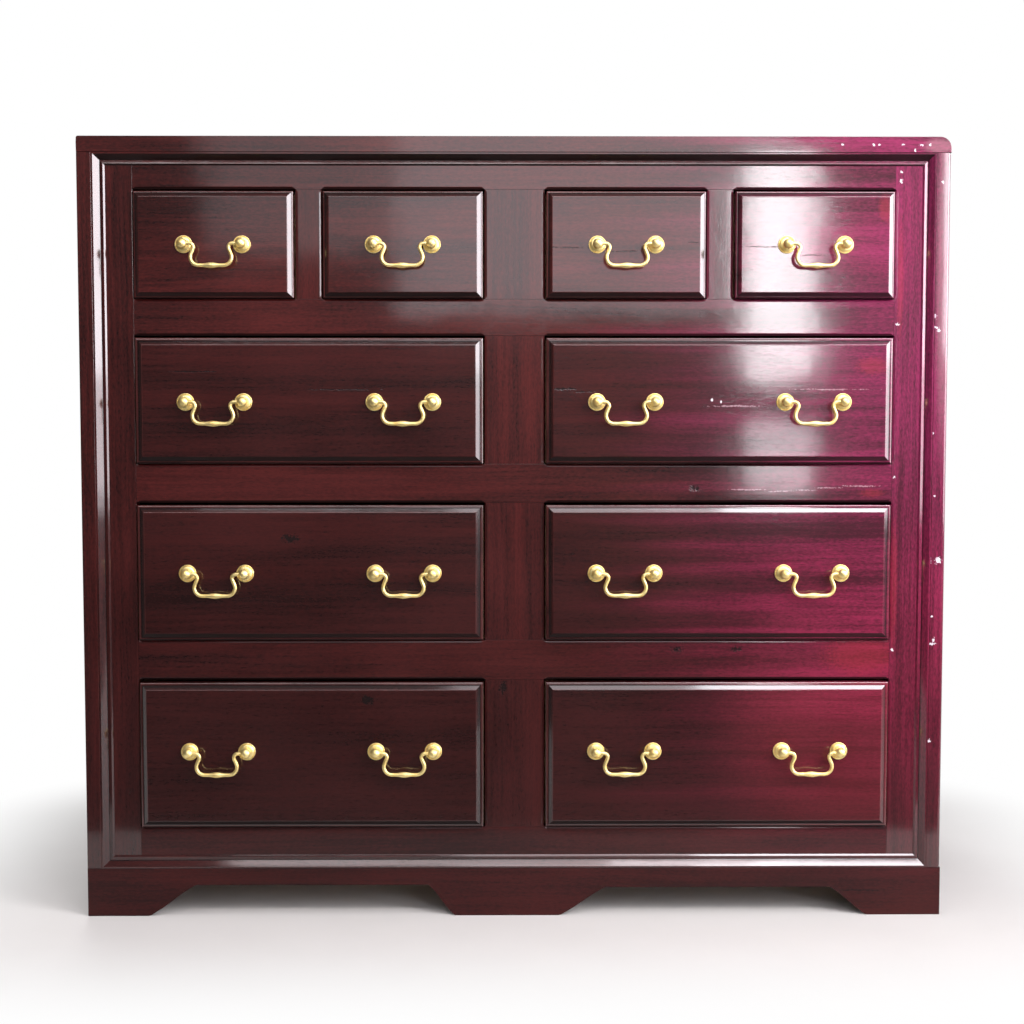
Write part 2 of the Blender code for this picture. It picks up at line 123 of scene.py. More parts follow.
# Mitred moulding round the face frame
MOULDING_SIDES = ("bottom", "right", "top", "left")
MOULDING_FLAT_W = 0.002
HOLLOW_SLOPE_W = 0.0076
HOLLOW_DEPTH = 0.0079
RIDGE_SLOPE_W = 0.0048
RIDGE_DEPTH = 0.0065
RIM_SLOPE_W = 0.0022
RIM_DEPTH = 0.0086
SLOPE_BULGE = 0.00005
SLOPE_STEPS = 5
MOULDING_STATIONS = 14
MOULDING_WAVER = 0.00018

# Drawers
FRONT_T = 0.022
FRONT_SIDE_GAP = 0.0025
FRONT_TOP_GAP = 0.0035
FRONT_BOTTOM_GAP = 0.0008
SMALL_LIP_W = 0.0025
WIDE_LIP_W = 0.0045
LIP_H = 0.002
BEVEL_W = 0.0055
BEVEL_H = 0.004
FIELD_ROUND = 0.0022
BOX_BOARD_T = 0.012
BOX_BOTTOM_T = 0.008
BOX_BOTTOM_RAISE = 0.008
BOX_ARRIS = 0.0015
TAIL_LENGTH = 0.008
TAIL_T = 0.006
TAIL_PITCH = 0.04
TAIL_WIDE = 0.026
TAIL_NARROW = 0.02
TAIL_PROUD = 0.0002
FEWEST_TAILS = 2

# Handles
POST_SPACING = 0.08
ROSETTE_R = 0.0122
ROSETTE_RIM = 0.0008
ROSETTE_RIM_TURN = radians(135)
ROSETTE_RIM_STEPS = 5
ROSETTE_EDGE_T = 0.0012
DOME_R = 0.0106
DOME_H = 0.003
DOME_STEPS = 7
NECK_R = 0.0044
NECK_TAPER_H = 0.0004
COLLAR_R = 0.0056
COLLAR_T = 0.0014
BALL_R = 0.007
BALL_OUT = 0.0145
BALL_TIP_ANGLE = 0.04
BALL_STEPS = 14
POST_EMBED = 0.002
POST_SIDES = 28
BAIL_R = 0.0026
BAIL_GRIP_R = 0.004
BAIL_GRIP_HALF = 0.012
BAIL_DROP = 0.03
BAIL_BAR = 0.034
BAIL_CORNER_R = 0.0112
BAIL_NECK_R = 0.0055
BAIL_NECK_IN = 0.016
PIN_PAST_CENTRE = 0.0005
PIN_CLEAR = 0.0004
BAIL_SIDES = 14
BAIL_BAR_STEPS = 10
BAIL_TURN_STEPS = 9

# Inside and back; a nail's rings are shares of its radius with their height
GUIDE_H = 0.022
BACK_BOARDS = 6
BACK_GROOVE_W = 0.005
BACK_GROOVE_D = 0.002
BACK_BOARD_GAP = 0.0003
NAIL_R = 0.0024
NAIL_PROUD = 0.0007
NAIL_RINGS = ((1.0, -0.001), (1.0, 0.0003), (0.7, NAIL_PROUD), (0.15, NAIL_PROUD))
NAIL_INSET = 0.02
NAIL_SHIFT = 0.004
NAIL_SIDES = 12

# Nodes, in the order in which they are built
SMALL_DRAWERS = [f"small_drawer_{i}" for i in range(1, 5)]
ROWS, SIDES = ("upper", "middle", "lower"), ("left", "right")
WIDE_DRAWERS = [f"{row}_{side}_drawer" for row in ROWS for side in SIDES]
FRAME_MEMBERS = ["left_stile", "right_stile", "top_rail"]
FRAME_MEMBERS += ["rail_1", "rail_2", "rail_3", "bottom_rail"]
FRAME_MEMBERS += [f"centre_muntin_{i}" for i in range(1, 5)]
FRAME_MEMBERS += ["left_small_muntin", "right_small_muntin"]
PLAIN_EDGED = ["left_stile"]
DRAWER_FLOORS = ["dust_board_1", "dust_board_2", "dust_board_3", "bottom_board"]

# The outline's two axes and the long axis of a board, by the axis that it runs along
AXES = {"X": (1, 2, 0), "Y": (2, 0, 1), "Z": (0, 1, 2)}
# The axes along a board's grain and both ways across it, by the axis that the grain runs along
GRAIN_AXES = {"X": (0, 2, 1), "Y": (1, 0, 2), "Z": (2, 0, 1)}
GRAIN_SHIFT = 15.0

# Noises: their detail, and scales along and across the grain, or one for every way
COARSE, FINE = 1.0, 3.0
DRIFT_SCALE = (1.7, 8.0)
FIGURE_SCALE = (1.4, 30.0)
STREAK_SCALE = (6.0, 240.0)
PORE_SCALE = (70.0, 1500.0)
MOTTLE_SCALE = (180.0, 420.0)
CLOUD_SCALE = 4.5
RUBBED_SCALE = 14.0
RIPPLE_SCALE = 10.0
WAVE_SCALE = 42.0
PLAIN_FIGURE_SCALE = (1.6, 36.0)
PLAIN_STREAK_SCALE = (8.0, 300.0)
STAIN_SCALE = 6.0
TARNISH_SCALE = 120.0
DENT_SCALE = 260.0
RUST_SCALE = 300.0
SPECKLE_SCALE = 9.0

# Mahogany: dark and light colours, and the metres over which painted shade darkens it towards
# the floor and painted light from the right turns its front red and violet
BROWN = ((0.014, 0.0017, 0.0017), (0.082, 0.0092, 0.0082))
# Colours of the painted light on the right of the front
PAINTED_LIGHT_CRIMSON = ((0.08, 0.0043, 0.018), (0.42, 0.0185, 0.086))
PAINTED_LIGHT_VIOLET = ((0.052, 0.0034, 0.017), (0.252, 0.014, 0.082))
PORE_COLOUR = (0.006, 0.001, 0.001)
WORN_COLOUR = (0.2, 0.06, 0.055)
# Near-black, for dirt in joints and for painted shade in inner corners and underneath
DIRT_AND_PAINTED_SHADE_COLOUR = (0.002, 0.001, 0.001)
# Painted shade: how much darker the brown is towards the floor
PAINTED_SHADE_TOWARDS_FLOOR = (0.0, 0.8, 0.48, 1.0)
# Where the painted light turns violet, rises, reaches right and stays on the front
PAINTED_VIOLET_UP = (0.25, 0.75)
PAINTED_LIGHT_UP = (0.0, 0.5)
PAINTED_LIGHT_TO_RIGHT = (0.1, 0.64)
PAINTED_LIGHT_TO_FRONT = (-0.13, -0.235)
PAINTED_LIGHT_STREAKS = 0.45

# Mahogany: how its noises show in its tone, gloss and surface
GRAIN_WANDER = 0.03
FIGURE_SHARE = 0.6
STREAK_SHARE = 0.4
MOTTLE_SHARE = 0.45
CLOUD_SHARE = 0.4
TONE_RANGE = (0.65, 1.2)
PORE_RANGE = (0.6, 0.7)
PORE_SHARE = 0.55
WEAR_RANGE = (0.3, 0.7, 0.0, 0.25)
DIRT_AND_PAINTED_SHADE_SHARE = 0.9
STREAK_ROUGHNESS = 0.5
ROUGH_RANGE = (0.45, 1.05)
ROUGH_SPREAD = 0.2
SATIN = 0.36
WAVE_RISE = 0.12
STREAK_RISE = 0.03
PORE_RISE = -0.012
DARK_MARK_RISE = -0.25
WOOD_SPECULAR = 0.15
COAT_ROUGHNESS = 0.09
COAT_IOR = 1.6
MAHOGANY_BUMP = (0.3, 0.0012)

# Bare wood inside and behind
PLAIN_WANDER = 0.045
PLAIN_STREAK_SHARE = 0.6
PLAIN_TONE_RANGE = (0.45, 1.1)
STAIN_RANGE = (0.55, 0.8, 0.0, 0.6)
STAIN_SHADE = 0.55
PLAIN_STREAK_RANGE = (0.2, 0.8)
PLAIN_ROUGH_SPREAD = 0.1
PLAIN_SPECULAR = 0.3
PLAIN_BUMP = (0.4, 0.0005)

# Metals
BRASS_COLOURS = ((1.0, 0.84, 0.38), (0.95, 0.7, 0.24))
TARNISH_RANGE = (0.4, 0.8)
BRASS_ROUGHNESS = (0.3, 0.8, 0.46, 0.58)
BRASS_BUMP = (0.15, 0.0002)
IRON_COLOURS = ((0.05, 0.04, 0.04), (0.13, 0.06, 0.03))
IRON_ROUGHNESS = 0.6
IRON_METALLIC = 0.7
IRON_BUMP = (0.5, 0.0004)

# Kinds of marks: their colour, how much of it shows and how uneven their rims are
MARK_KINDS = {
    "dark": ((0.003, 0.0018, 0.0018), 0.8, 1.2),
    "smudge": ((0.006, 0.004, 0.0045), 0.35, 1.2),
    # Painted reflections: pale lines standing for reflections in the polish
    "painted_reflection_line": ((0.55, 0.34, 0.4), 0.55, 1.2),
    # Painted sheen: pale patches standing for the sheen on the upper right edges
    "painted_sheen": ((0.42, 0.26, 0.28), 0.28, 0.15),
    # Painted light: red patches at the right ends and a wide red glow on the lower right drawer,
    # where light from the right falls
    "painted_red_light": ((0.62, 0.04, 0.04), 0.14, 0.4),
    "painted_light_blush": ((0.62, 0.06, 0.08), 0.07, 0.15),
    "chip": ((0.8, 0.74, 0.82), 1.0, 1.2),
}
# Marks on pieces of the front, by kind: X and Z of their centre, half sizes along X and Z
MARKS = {
    "middle_left_drawer_front": {"dark": [(-0.3123, 0.534, 0.014, 0.007)]},
    "lower_left_drawer_front": {"dark": [(-0.2054, 0.3075, 0.012, 0.008)]},
    "centre_muntin_4": {"dark": [(-0.016, 0.3237, 0.007, 0.012)]},
    "rail_2": {
        "dark": [(0.252, 0.6038, 0.01, 0.005)],
        "painted_reflection_line": [
            (0.325, 0.602, 0.03, 0.001), (0.372, 0.5995, 0.02, 0.001), (0.405, 0.601, 0.018, 0.001),
            (0.44, 0.6045, 0.024, 0.0011), (0.487, 0.6068, 0.032, 0.0013),
        ],
        "painted_red_light": [(0.5, 0.597, 0.024, 0.008)],
    },
    "rail_3": {
        "dark": [(0.2285, 0.377, 0.011, 0.005), (0.3114, 0.377, 0.01, 0.005)],
        "painted_red_light": [(0.49, 0.37, 0.075, 0.04)],
    },
    "small_drawer_3_front": {
        "dark": [
            (0.075, 0.936, 0.028, 0.0011), (0.152, 0.9306, 0.03, 0.001),
            (0.245, 0.9435, 0.012, 0.0008),
        ],
        "smudge": [(0.065, 0.99, 0.02, 0.008)],
    },
    "small_drawer_4_front": {
        "dark": [(0.3372, 0.937, 0.028, 0.001), (0.412, 0.9258, 0.018, 0.001)],
        "smudge": [
            (0.3331, 0.9543, 0.022, 0.0032), (0.3289, 0.9758, 0.006, 0.006),
            (0.3262, 0.884, 0.01, 0.006),
        ],
        "painted_red_light": [(0.5107, 0.99, 0.012, 0.024)],
    },
    "upper_left_drawer_front": {
        "dark": [(-0.445, 0.766, 0.045, 0.001), (-0.24, 0.741, 0.05, 0.0009)],
    },
    "upper_right_drawer_front": {
        "dark": [
            (0.07, 0.742, 0.022, 0.0018), (0.095, 0.7375, 0.018, 0.001),
            (0.397, 0.7392, 0.017, 0.0009),
        ],
        "smudge": [(0.07, 0.733, 0.024, 0.008)],
        "painted_reflection_line": [(0.301, 0.7181, 0.043, 0.0013), (0.4418, 0.7413, 0.062, 0.0009)],
        "painted_red_light": [(0.4969, 0.774, 0.03, 0.016)],
        "chip": [(0.2739, 0.7263, 0.0016, 0.0036), (0.2863, 0.7249, 0.0012, 0.0032)],
    },
    "lower_right_drawer_front": {"painted_light_blush": [(0.5, 0.27, 0.26, 0.24)]},
    "right_stile": {
        "painted_red_light": [(0.5356, 0.89, 0.006, 0.11), (0.532, 0.47, 0.007, 0.12)],
        "chip": [
            (0.5347, 1.0409, 0.0022, 0.0022), (0.5347, 1.0287, 0.0024, 0.0036),
            (0.5322, 0.8319, 0.0026, 0.0026), (0.5315, 0.619, 0.0022, 0.0024),
            (0.5245, 0.4176, 0.0026, 0.0032), (0.5311, 0.3763, 0.0024, 0.0024),
        ],
    },
    "right_side": {
        "painted_sheen": [(0.596, 0.93, 0.017, 0.34)],
        "chip": [
            (0.5898, 1.0259, 0.0026, 0.0026), (0.5807, 0.8421, 0.0044, 0.004),
            (0.5829, 0.8272, 0.0062, 0.002), (0.587, 0.8231, 0.0026, 0.004),
            (0.5815, 0.6811, 0.0028, 0.0028), (0.5856, 0.5932, 0.0022, 0.0016),
            (0.5801, 0.5034, 0.0024, 0.0056), (0.592, 0.5034, 0.005, 0.006),
            (0.5836, 0.4243, 0.002, 0.002), (0.584, 0.385, 0.0064, 0.0028),
            (0.587, 0.3909, 0.0022, 0.0044), (0.5732, 0.3211, 0.0026, 0.0028),
            (0.5823, 0.2483, 0.0036, 0.003),
        ],
    },
    "top_board": {
        "smudge": [(0.4312, 1.0702, 0.012, 0.004)],
        "painted_sheen": [(0.585, 1.075, 0.03, 0.014)],
        "chip": [
            (0.4505, 1.0769, 0.0022, 0.0016), (0.4933, 1.0769, 0.0018, 0.0016),
            (0.5015, 1.0769, 0.0022, 0.0018), (0.5346, 1.0769, 0.0028, 0.0018),
            (0.5594, 1.0769, 0.0034, 0.0016), (0.5719, 1.0769, 0.0022, 0.0022),
            (0.5512, 1.0689, 0.002, 0.0024),
        ],
    },
    "base_front": {"dark": [(0.489, 0.035, 0.034, 0.0014)]},
}
# How far behind the front marks end, and how their rims fade and are shaken
MARK_DEPTH = 0.1
MARK_FADE = (1.0, 0.45)
MARK_WAVER = 0.005
SHAKE_SCALE, SHAKE_DETAIL, SHAKE_ROUGHNESS = 30.0, 5.0, 0.75
RIM_SCALE = 330.0
CHIP_ROUGHNESS = 0.8
# Pieces whose polish has gone dull, and how much of it is left
DULL = {"base_front": 0.12, "bottom_rail": 0.3}
# How dark the brown of the wide drawer fronts is beside that of the case
FRONT_SHADE = 0.58

# Lamps: place, target, width and height, brightness and tint. The strips make the front's streak
# and the glows lie beside it. The windows show in what faces right, the glint on a small muntin
# and the edge lights on the drawers' top edges. Overhead and ceiling lamps light what faces up.
LAMPS = {
    "strip_high": ((0.81, -2.65, 1.155), (0.5, -0.25, 1.1), (0.2, 0.65), 18.0, (1.0, 0.98, 1.0)),
    "strip_low": ((0.81, -2.65, 0.59), (0.5, -0.25, 0.6), (0.2, 0.21), 9.5, (1.0, 0.96, 1.0)),
    "glow": ((0.24, -2.7, 1.435), (0.2, -0.25, 1.0), (1.15, 0.83), 2.5, (1.0, 0.9, 0.95)),
    "glow_left": ((-0.62, -2.7, 1.5), (-0.5, -0.25, 1.0), (0.57, 0.6), 1.1, (1.0, 0.93, 0.97)),
    "window": ((2.2, -1.13, 1.3), (0.2, -0.95, 1.25), (1.7, 0.9), 15.0, (1.0, 0.94, 0.99)),
    "window_low": ((2.2, -1.13, 0.65), (0.2, -0.95, 0.65), (1.7, 0.4), 8.0, (1.0, 0.92, 0.97)),
    "glint": ((2.45, -4.45, 1.5), (-0.27, -0.26, 0.95), (0.7, 0.95), 13.0, (0.98, 0.94, 1.0)),
    "overhead": ((0.0, -2.05, 2.35), (0.0, -0.25, 0.8), (3.0, 0.4), 7.0, (1.0, 0.93, 0.94)),
    "ceiling": ((0.0, -0.8, 2.3), (0.0, -0.5, 0.5), (1.6, 0.18), 5.0, (1.0, 0.9, 0.92)),
    "ceiling_middle": ((0.5, -0.81, 2.28), (0.5, -0.51, 0.5), (0.42, 0.12), 8.0, (1.0, 0.92, 0.97)),
    "ceiling_right": ((0.97, -0.81, 2.28), (0.97, -0.51, 0.5), (0.54, 0.12), 17.0, (0.97, 0.95, 1.0)),
    "edge_light": ((0.2, -1.13, 2.28), (0.2, -0.83, 0.5), (0.7, 0.52), 4.0, (1.0, 0.88, 0.92)),
    "edge_light_right": ((0.9, -1.13, 2.28), (0.9, -0.83, 0.5), (0.7, 0.52), 17.0, (0.97, 0.95, 1.0)),
    "key": ((1.5, -1.5, 1.4), (0.2, -0.25, 0.7), (1.0, 1.0), 14.0, (1.0, 0.97, 0.98)),
    "left_fill": ((-2.6, -0.6, 1.6), (-0.6, 0.0, 0.5), (1.6, 1.6), 2.9, (1.0, 1.0, 1.0)),
    "back_fill": ((-1.0, 2.8, 2.0), (0.0, 0.3, 0.5), (1.6, 1.6), 6.0, (1.0, 1.0, 1.0)),
}
# Lamps that only show in the polish, and lamps that only light
ONLY_MIRRORED = ["window", "window_low", "edge_light", "edge_light_right"]
ONLY_LIGHTING = ["key", "left_fill", "back_fill"]

# Floor and room: the floor turns white away from the chest, and the room is white behind it;
# ranges behind the chest are of Y, in metres on the floor and by direction in the room
WHITE = (1.0, 1.0, 1.0, 1.0)
FLOOR_EDGES = (-3.0, 3.0, -0.68, 3.0)
FLOOR_FADE = (0.03, 0.4)
FLOOR_BEHIND = (-0.3, 0.6)
FLOOR_COLOURS = ((0.68, 0.67, 0.66), (0.72, 0.71, 0.7))
FLOOR_ROUGHNESS = 0.7
FLOOR_SPECULAR = 0.2
ROOM_BEHIND = (0.0, 0.5)
ROOM_SEEN = 0.08
ROOM_LIGHT = 0.15

draw = random.Random(11)


# Mesh helpers

def new_mesh(name, points, faces):
    mesh = bpy.data.meshes.new(name)
    mesh.from_pydata(points, [], faces)
    return mesh


def add_object(name, data):
    obj = bpy.data.objects.new(name, data)
    bpy.context.scene.collection.objects.link(obj)
    return obj


def finished(mesh, sharp=SHARP_ANGLE):
    """Turns a mesh's faces outwards and shades it smooth up to its real edges."""
    shape = bmesh.new()
    shape.from_mesh(mesh)
    bmesh.ops.recalc_face_normals(shape, faces=shape.faces)
    shape.to_mesh(mesh)
    shape.free()
    mesh.shade_smooth()
    mesh.set_sharp_from_angle(angle=sharp)
    return mesh


def lofts(name, bodies, sharp=SHARP_ANGLE):
    """A mesh of closed bodies, each a list of rings with equal numbers of points."""
    points, faces = [], []
    for rings in bodies:
        count, first = len(rings[0]), len(points)
        points += [point for ring in rings for point in ring]
        loops = [range(at, at + count) for at in range(first, len(points), count)]
        faces.append(tuple(loops[0]))
        for low, high in zip(loops, loops[1:]):
            for i in range(count):
                j = (i + 1) % count
                faces.append((low[i], low[j], high[j], high[i]))
        faces.append(tuple(loops[-1]))
    return finished(new_mesh(name, points, faces), sharp)


def set_grain(mesh, along):
    """Stores where the wood's grain runs: first along it, then the two ways across it."""
    order = GRAIN_AXES[along]
    shift = [draw.uniform(-GRAIN_SHIFT, GRAIN_SHIFT) for _ in order]
    values = []
    for vertex in mesh.vertices:
        values += [vertex.co[axis] + s for axis, s in zip(order, shift)]
    mesh.attributes.new("grain", "FLOAT_VECTOR", "POINT").data.foreach_set("vector", values)


def width_of(face):
    return face.calc_area() / max(edge.calc_length() for edge in face.edges)


def set_wear(mesh):
    """Stores which points wear, on eased edges, and which darken: dirty joints, and inner corners in
    painted shade.
    """
    shape = bmesh.new()
    shape.from_mesh(mesh)
    widths = [width_of(face) for face in shape.faces]
    tilted = [max(abs(part) for part in face.normal) < TILTED for face in shape.faces]
    wear, dirt_and_painted_shade = [], []
    for vertex in shape.verts:
        turns = [edge.calc_face_angle_signed(0.0) for edge in vertex.link_edges]
        faces = [face.index for face in vertex.link_faces]
        eased = all(tilted[i] and JOINT_FACE_W < widths[i] < WORN_FACE_W for i in faces)
        joint = all(tilted[i] and widths[i] < JOINT_FACE_W for i in faces)
        # Joints take dirt; inner corners take painted shade.
        corner = min(turns) < -SHADED_CORNER_TURN and all(widths[i] < SHADED_CORNER_FACE_W for i in faces)
        wear.append(1.0 if eased and max(turns) > WORN_TURN else 0.0)
        dirt_and_painted_shade.append(1.0 if joint or corner else 0.0)
    shape.free()
    for name, values in (("wear", wear), ("dirt_and_painted_shade", dirt_and_painted_shade)):
        mesh.attributes.new(name, "FLOAT", "POINT").data.foreach_set("value", values)


def add_piece(name, mesh, body, slot, material, *replaced):
    """A piece of the chest, which moves with a body and stands for the nodes named last."""
    mesh.materials.append(material)
    obj = add_object(name, mesh)
    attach(obj, body)
    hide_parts(*replaced)
    normals = obj.modifiers.new("flat_faces_stay_flat", "WEIGHTED_NORMAL")
    normals.keep_sharp = True


def circle(sides):
    """Angles evenly spaced round a circle."""
    return [2 * pi * i / sides for i in range(sides)]


def sweep(start, end, steps):
    """Evenly spaced values from start to end, both included."""
    return [start + (end - start) * i / steps for i in range(steps + 1)]


def arc(centre, radius, start, end, steps):
    """Points along an arc in a plane, both ends included."""
    angles = sweep(start, end, steps)
    x, y = centre
    return [Vector((x + radius * cos(a), y + radius * sin(a))) for a in angles]


def bulged(start, end, bulge, steps):
    """Points from start to end on a shallow arc that swells to the right of the way."""
    start, end = Vector(start), Vector(end)
    run = end - start
    out = Vector((run.y, -run.x)).normalized() * bulge
    return [start + run * t + out * 4 * t * (1 - t) for t in sweep(0.0, 1.0, steps)]


def rectangle(left, right, bottom, top, y):
    """Corners of a rectangle in a plane across Y."""
    return [(left, y, bottom), (right, y, bottom), (right, y, top), (left, y, top)]


def rounded_rectangle(u_low, u_high, v_low, v_high, radius):
    """An anticlockwise rectangle with rounded corners."""
    points = []
    corners = ((u_high, v_low), (u_high, v_high), (u_low, v_high), (u_low, v_low))
    for turn, (u, v) in enumerate(corners):
        u += radius if u == u_low else -radius
        v += radius if v == v_low else -radius
        start = pi / 2 * (turn - 1)
        points += arc((u, v), radius, start, start + pi / 2, ARRIS_STEPS)
    return points


def inset(outline, distance):
    """An anticlockwise outline moved inwards by a distance."""
    moved = []
    for before, here, after in zip(outline[-1:] + outline, outline, outline[1:] + outline[:1]):
        first, second = (here - before).normalized(), (after - here).normalized()
        normals = Vector((-first.y - second.y, first.x + second.x))
        moved.append(here + normals * distance / (1 + first.dot(second)))
    return moved


def rounded_end(arris):
    """Inset and distance from the end of the rings that round an end, from the end inwards."""
    angles = sweep(0.0, pi / 2, ARRIS_STEPS)
    return [(arris * (1 - sin(a)), arris * (1 - cos(a))) for a in angles]


def placed(axes, *values):
    """A point from its values along three axes."""
    point = Vector((0.0, 0.0, 0.0))
    for axis, value in zip(axes, values):
        point[axis] = value
    return point


def prism(outline, along, low, high, low_arris, high_arris):
    """Rings of an outline run along an axis from low to high, each end rounded by its own arris."""
    levels = [(depth, low + off) for depth, off in rounded_end(low_arris)]
    levels += [(depth, high - off) for depth, off in reversed(rounded_end(high_arris))]
    rings = []
    for depth, level in levels:
        rings.append([placed(AXES[along], *point, level) for point in inset(outline, depth)])
    return rings


def board(low, high, along, arris):
    """Rings of a straight board with all its edges eased."""
    u, v, w = AXES[along]
    outline = rounded_rectangle(low[u], high[u], low[v], high[v], arris)
    return prism(outline, along, low[w], high[w], arris * END_SHARE, arris * END_SHARE)


def outline_of(node, along):
    """The outline of a node's largest face across an axis, anticlockwise, its round runs finer."""
    u, v, w = AXES[along]
    shape = bmesh.new()
    shape.from_mesh(frame["nodes"][node].data)
    bmesh.ops.remove_doubles(shape, verts=shape.verts, dist=MERGE_DISTANCE)
    parts = {"verts": shape.verts, "edges": shape.edges}
    bmesh.ops.dissolve_limit(shape, angle_limit=STRAIGHT_ANGLE, **parts)
    facing = [face for face in shape.faces if abs(face.normal[w]) > FACING]
    face = max(facing, key=lambda item: item.calc_area())
    outline = [Vector((vertex.co[u], vertex.co[v])) for vertex in face.verts]
    shape.free()
    pairs = zip(outline, outline[1:] + outline[:1])
    if sum(a.cross(b) for a, b in pairs) < 0:
        outline.reverse()
    return finer(outline)


def tangent(neighbour, run):
    """Heading of a smooth curve where two runs meet; a long straight neighbour sets it alone."""
    if neighbour.length > SHORT_RUN:
        return neighbour
    return neighbour.normalized() + run.normalized()


def finer(outline):
    """Splits the short runs between an outline's gentle turns along a smooth curve."""
    count = len(outline)
    runs = [outline[(i + 1) % count] - outline[i] for i in range(count)]
    turns = [abs(runs[i - 1].angle_signed(runs[i])) for i in range(count)]
    points = []
    for i, here in enumerate(outline):
        there, run = outline[(i + 1) % count], runs[i]
        points.append(here)
        gentle = turns[i] < GENTLE_TURN, turns[(i + 1) % count] < GENTLE_TURN
        if run.length > SHORT_RUN or not any(gentle):
            continue
        leave = tangent(runs[i - 1], run) if gentle[0] else run
        reach = tangent(runs[(i + 1) % count], run) if gentle[1] else run
        leave, reach = leave.normalized() * run.length, reach.normalized() * run.length
        for step in range(1, RUN_PARTS):
            t = step / RUN_PARTS
            blend = t * t * (3 - 2 * t)
            curve = here * (1 - blend) + there * blend
            points.append(curve + leave * t * (1 - t) ** 2 - reach * t * t * (1 - t))
    return points


# Materials

class Nodes:
    """Adds shader nodes to a tree and joins them."""

    def __init__(self, tree):
        self.tree = tree

    def put(self, socket, value):
        if isinstance(value, bpy.types.NodeSocket):
            self.tree.links.new(value, socket)
        else:
            socket.default_value = value

    def node(self, kind, inputs=None, **settings):
        made = self.tree.nodes.new("ShaderNode" + kind)
        for key, value in settings.items():
            setattr(made, key, value)
        for key, value in (inputs or {}).items():
            self.put(made.inputs[key], value)
        return made

    def axis(self, vector, name):
        return self.node("SeparateXYZ", {0: vector}).outputs[name]

    def vector(self, operation, *inputs):
        return self.node("VectorMath", dict(enumerate(inputs)), operation=operation).outputs[0]

    def length(self, vector):
        return self.node("VectorMath", {0: vector}, operation="LENGTH").outputs["Value"]

    def math(self, operation, first, second=0.0, third=0.0):
        inputs = {0: first, 1: second, 2: third}
        return self.node("Math", inputs, operation=operation).outputs[0]

    def times(self, first, *others):
        for other in others:
            first = self.math("MULTIPLY", first, other)
        return first

    def most(self, first, *others):
        for other in others:
            first = self.math("MAXIMUM", first, other)
        return first

    def added(self, start, *parts):
        """A value with shares of others added to it."""
        for value, share in parts:
            start = self.math("MULTIPLY_ADD", value, share, start)
        return start

    def rays(self):
        """Two values: one for rays from the camera, the other for rays mirrored or let through."""
        light = self.node("LightPath").outputs
        turned = self.most(light["Is Glossy Ray"], light["Is Transmission Ray"])
        return light["Is Camera Ray"], turned

    def fit(self, value, low, high, to_low=0.0, to_high=1.0):
        """Moves a value smoothly from one range to another."""
        inputs = {"Value": value, "From Min": low, "From Max": high}
        inputs |= {"To Min": to_low, "To Max": to_high}
        return self.node("MapRange", inputs, interpolation_type="SMOOTHSTEP").outputs[0]

    def level(self, factor, first, second):
        """A number between two others."""
        return self.node("Mix", {"Factor": factor, "A": first, "B": second}).outputs[0]


class Look(Nodes):
    """A material being built."""

    def __init__(self, name):
        self.material = bpy.data.materials.new(name)
        self.material.use_nodes = True
        super().__init__(self.material.node_tree)
        self.shader = self.tree.nodes["Principled BSDF"]

    def shade(self, **inputs):
        """Sets inputs of the main shader; a name's underscores stand for spaces."""
        for key, value in inputs.items():
            self.put(self.shader.inputs[key.replace("_", " ")], value)

    def place(self):
        return self.node("TexCoord").outputs["Object"]

    def attribute(self, name, output="Fac"):
        return self.node("Attribute", attribute_name=name).outputs[output]

    def noise(self, vector, scale, detail=2.0, roughness=0.5, output="Fac"):
        """Noise of one scale every way, or of one along the grain and one across it."""
        along, across = scale if isinstance(scale, tuple) else (scale, scale)
        scaled = self.vector("MULTIPLY", vector, (along, across, across))
        inputs = {"Vector": scaled, "Scale": 1.0}
        inputs |= {"Detail": detail, "Roughness": roughness}
        return self.node("TexNoise", inputs).outputs[output]

    def mix(self, factor, first, second):
        inputs = {0: factor, 6: colour(first), 7: colour(second)}
        return self.node("Mix", inputs, data_type="RGBA", blend_type="MIX").outputs[2]

    def bump(self, height, strength, distance):
        """Sets the surface's bumps and returns the normal that shows them."""
        inputs = {"Height": height, "Strength": strength, "Distance": distance}
        normal = self.node("Bump", inputs).outputs[0]
        self.shade(Normal=normal)
        return normal


def colour(value):
    """A colour for a socket: a link as it is, or a triple with its fourth number."""
    return value if isinstance(value, bpy.types.NodeSocket) else (*value, 1.0)


def bent_grain(look, wander):
    """Grain coordinates that drift slowly across the board, as in sawn wood."""
    grain = look.attribute("grain", "Vector")
    drift = look.noise(grain, DRIFT_SCALE, output="Color")
    return look.vector("MULTIPLY_ADD", drift, (0.0, wander, wander), grain)


def spot(look, place, rim, uneven, mark):
    """One inside an ellipse on the front, falling to nothing at an uneven rim."""
    x, z, half_w, half_h = mark
    offset = look.vector("SUBTRACT", place, (x, CAD_BOX[0].y, z))
    offset = look.vector("MULTIPLY", offset, (1 / half_w, 1 / MARK_DEPTH, 1 / half_h))
    return look.fit(look.added(look.length(offset), (rim, uneven)), *MARK_FADE)


def ragged(look, place, waver):
    """Coordinates shaken in large and small steps, so that marks get uneven rims."""
    shake = look.noise(place, SHAKE_SCALE, SHAKE_DETAIL, SHAKE_ROUGHNESS, "Color")
    shaken = look.vector("MULTIPLY_ADD", shake, [waver] * 3, place)
    return look.vector("SUBTRACT", shaken, [waver / 2] * 3)


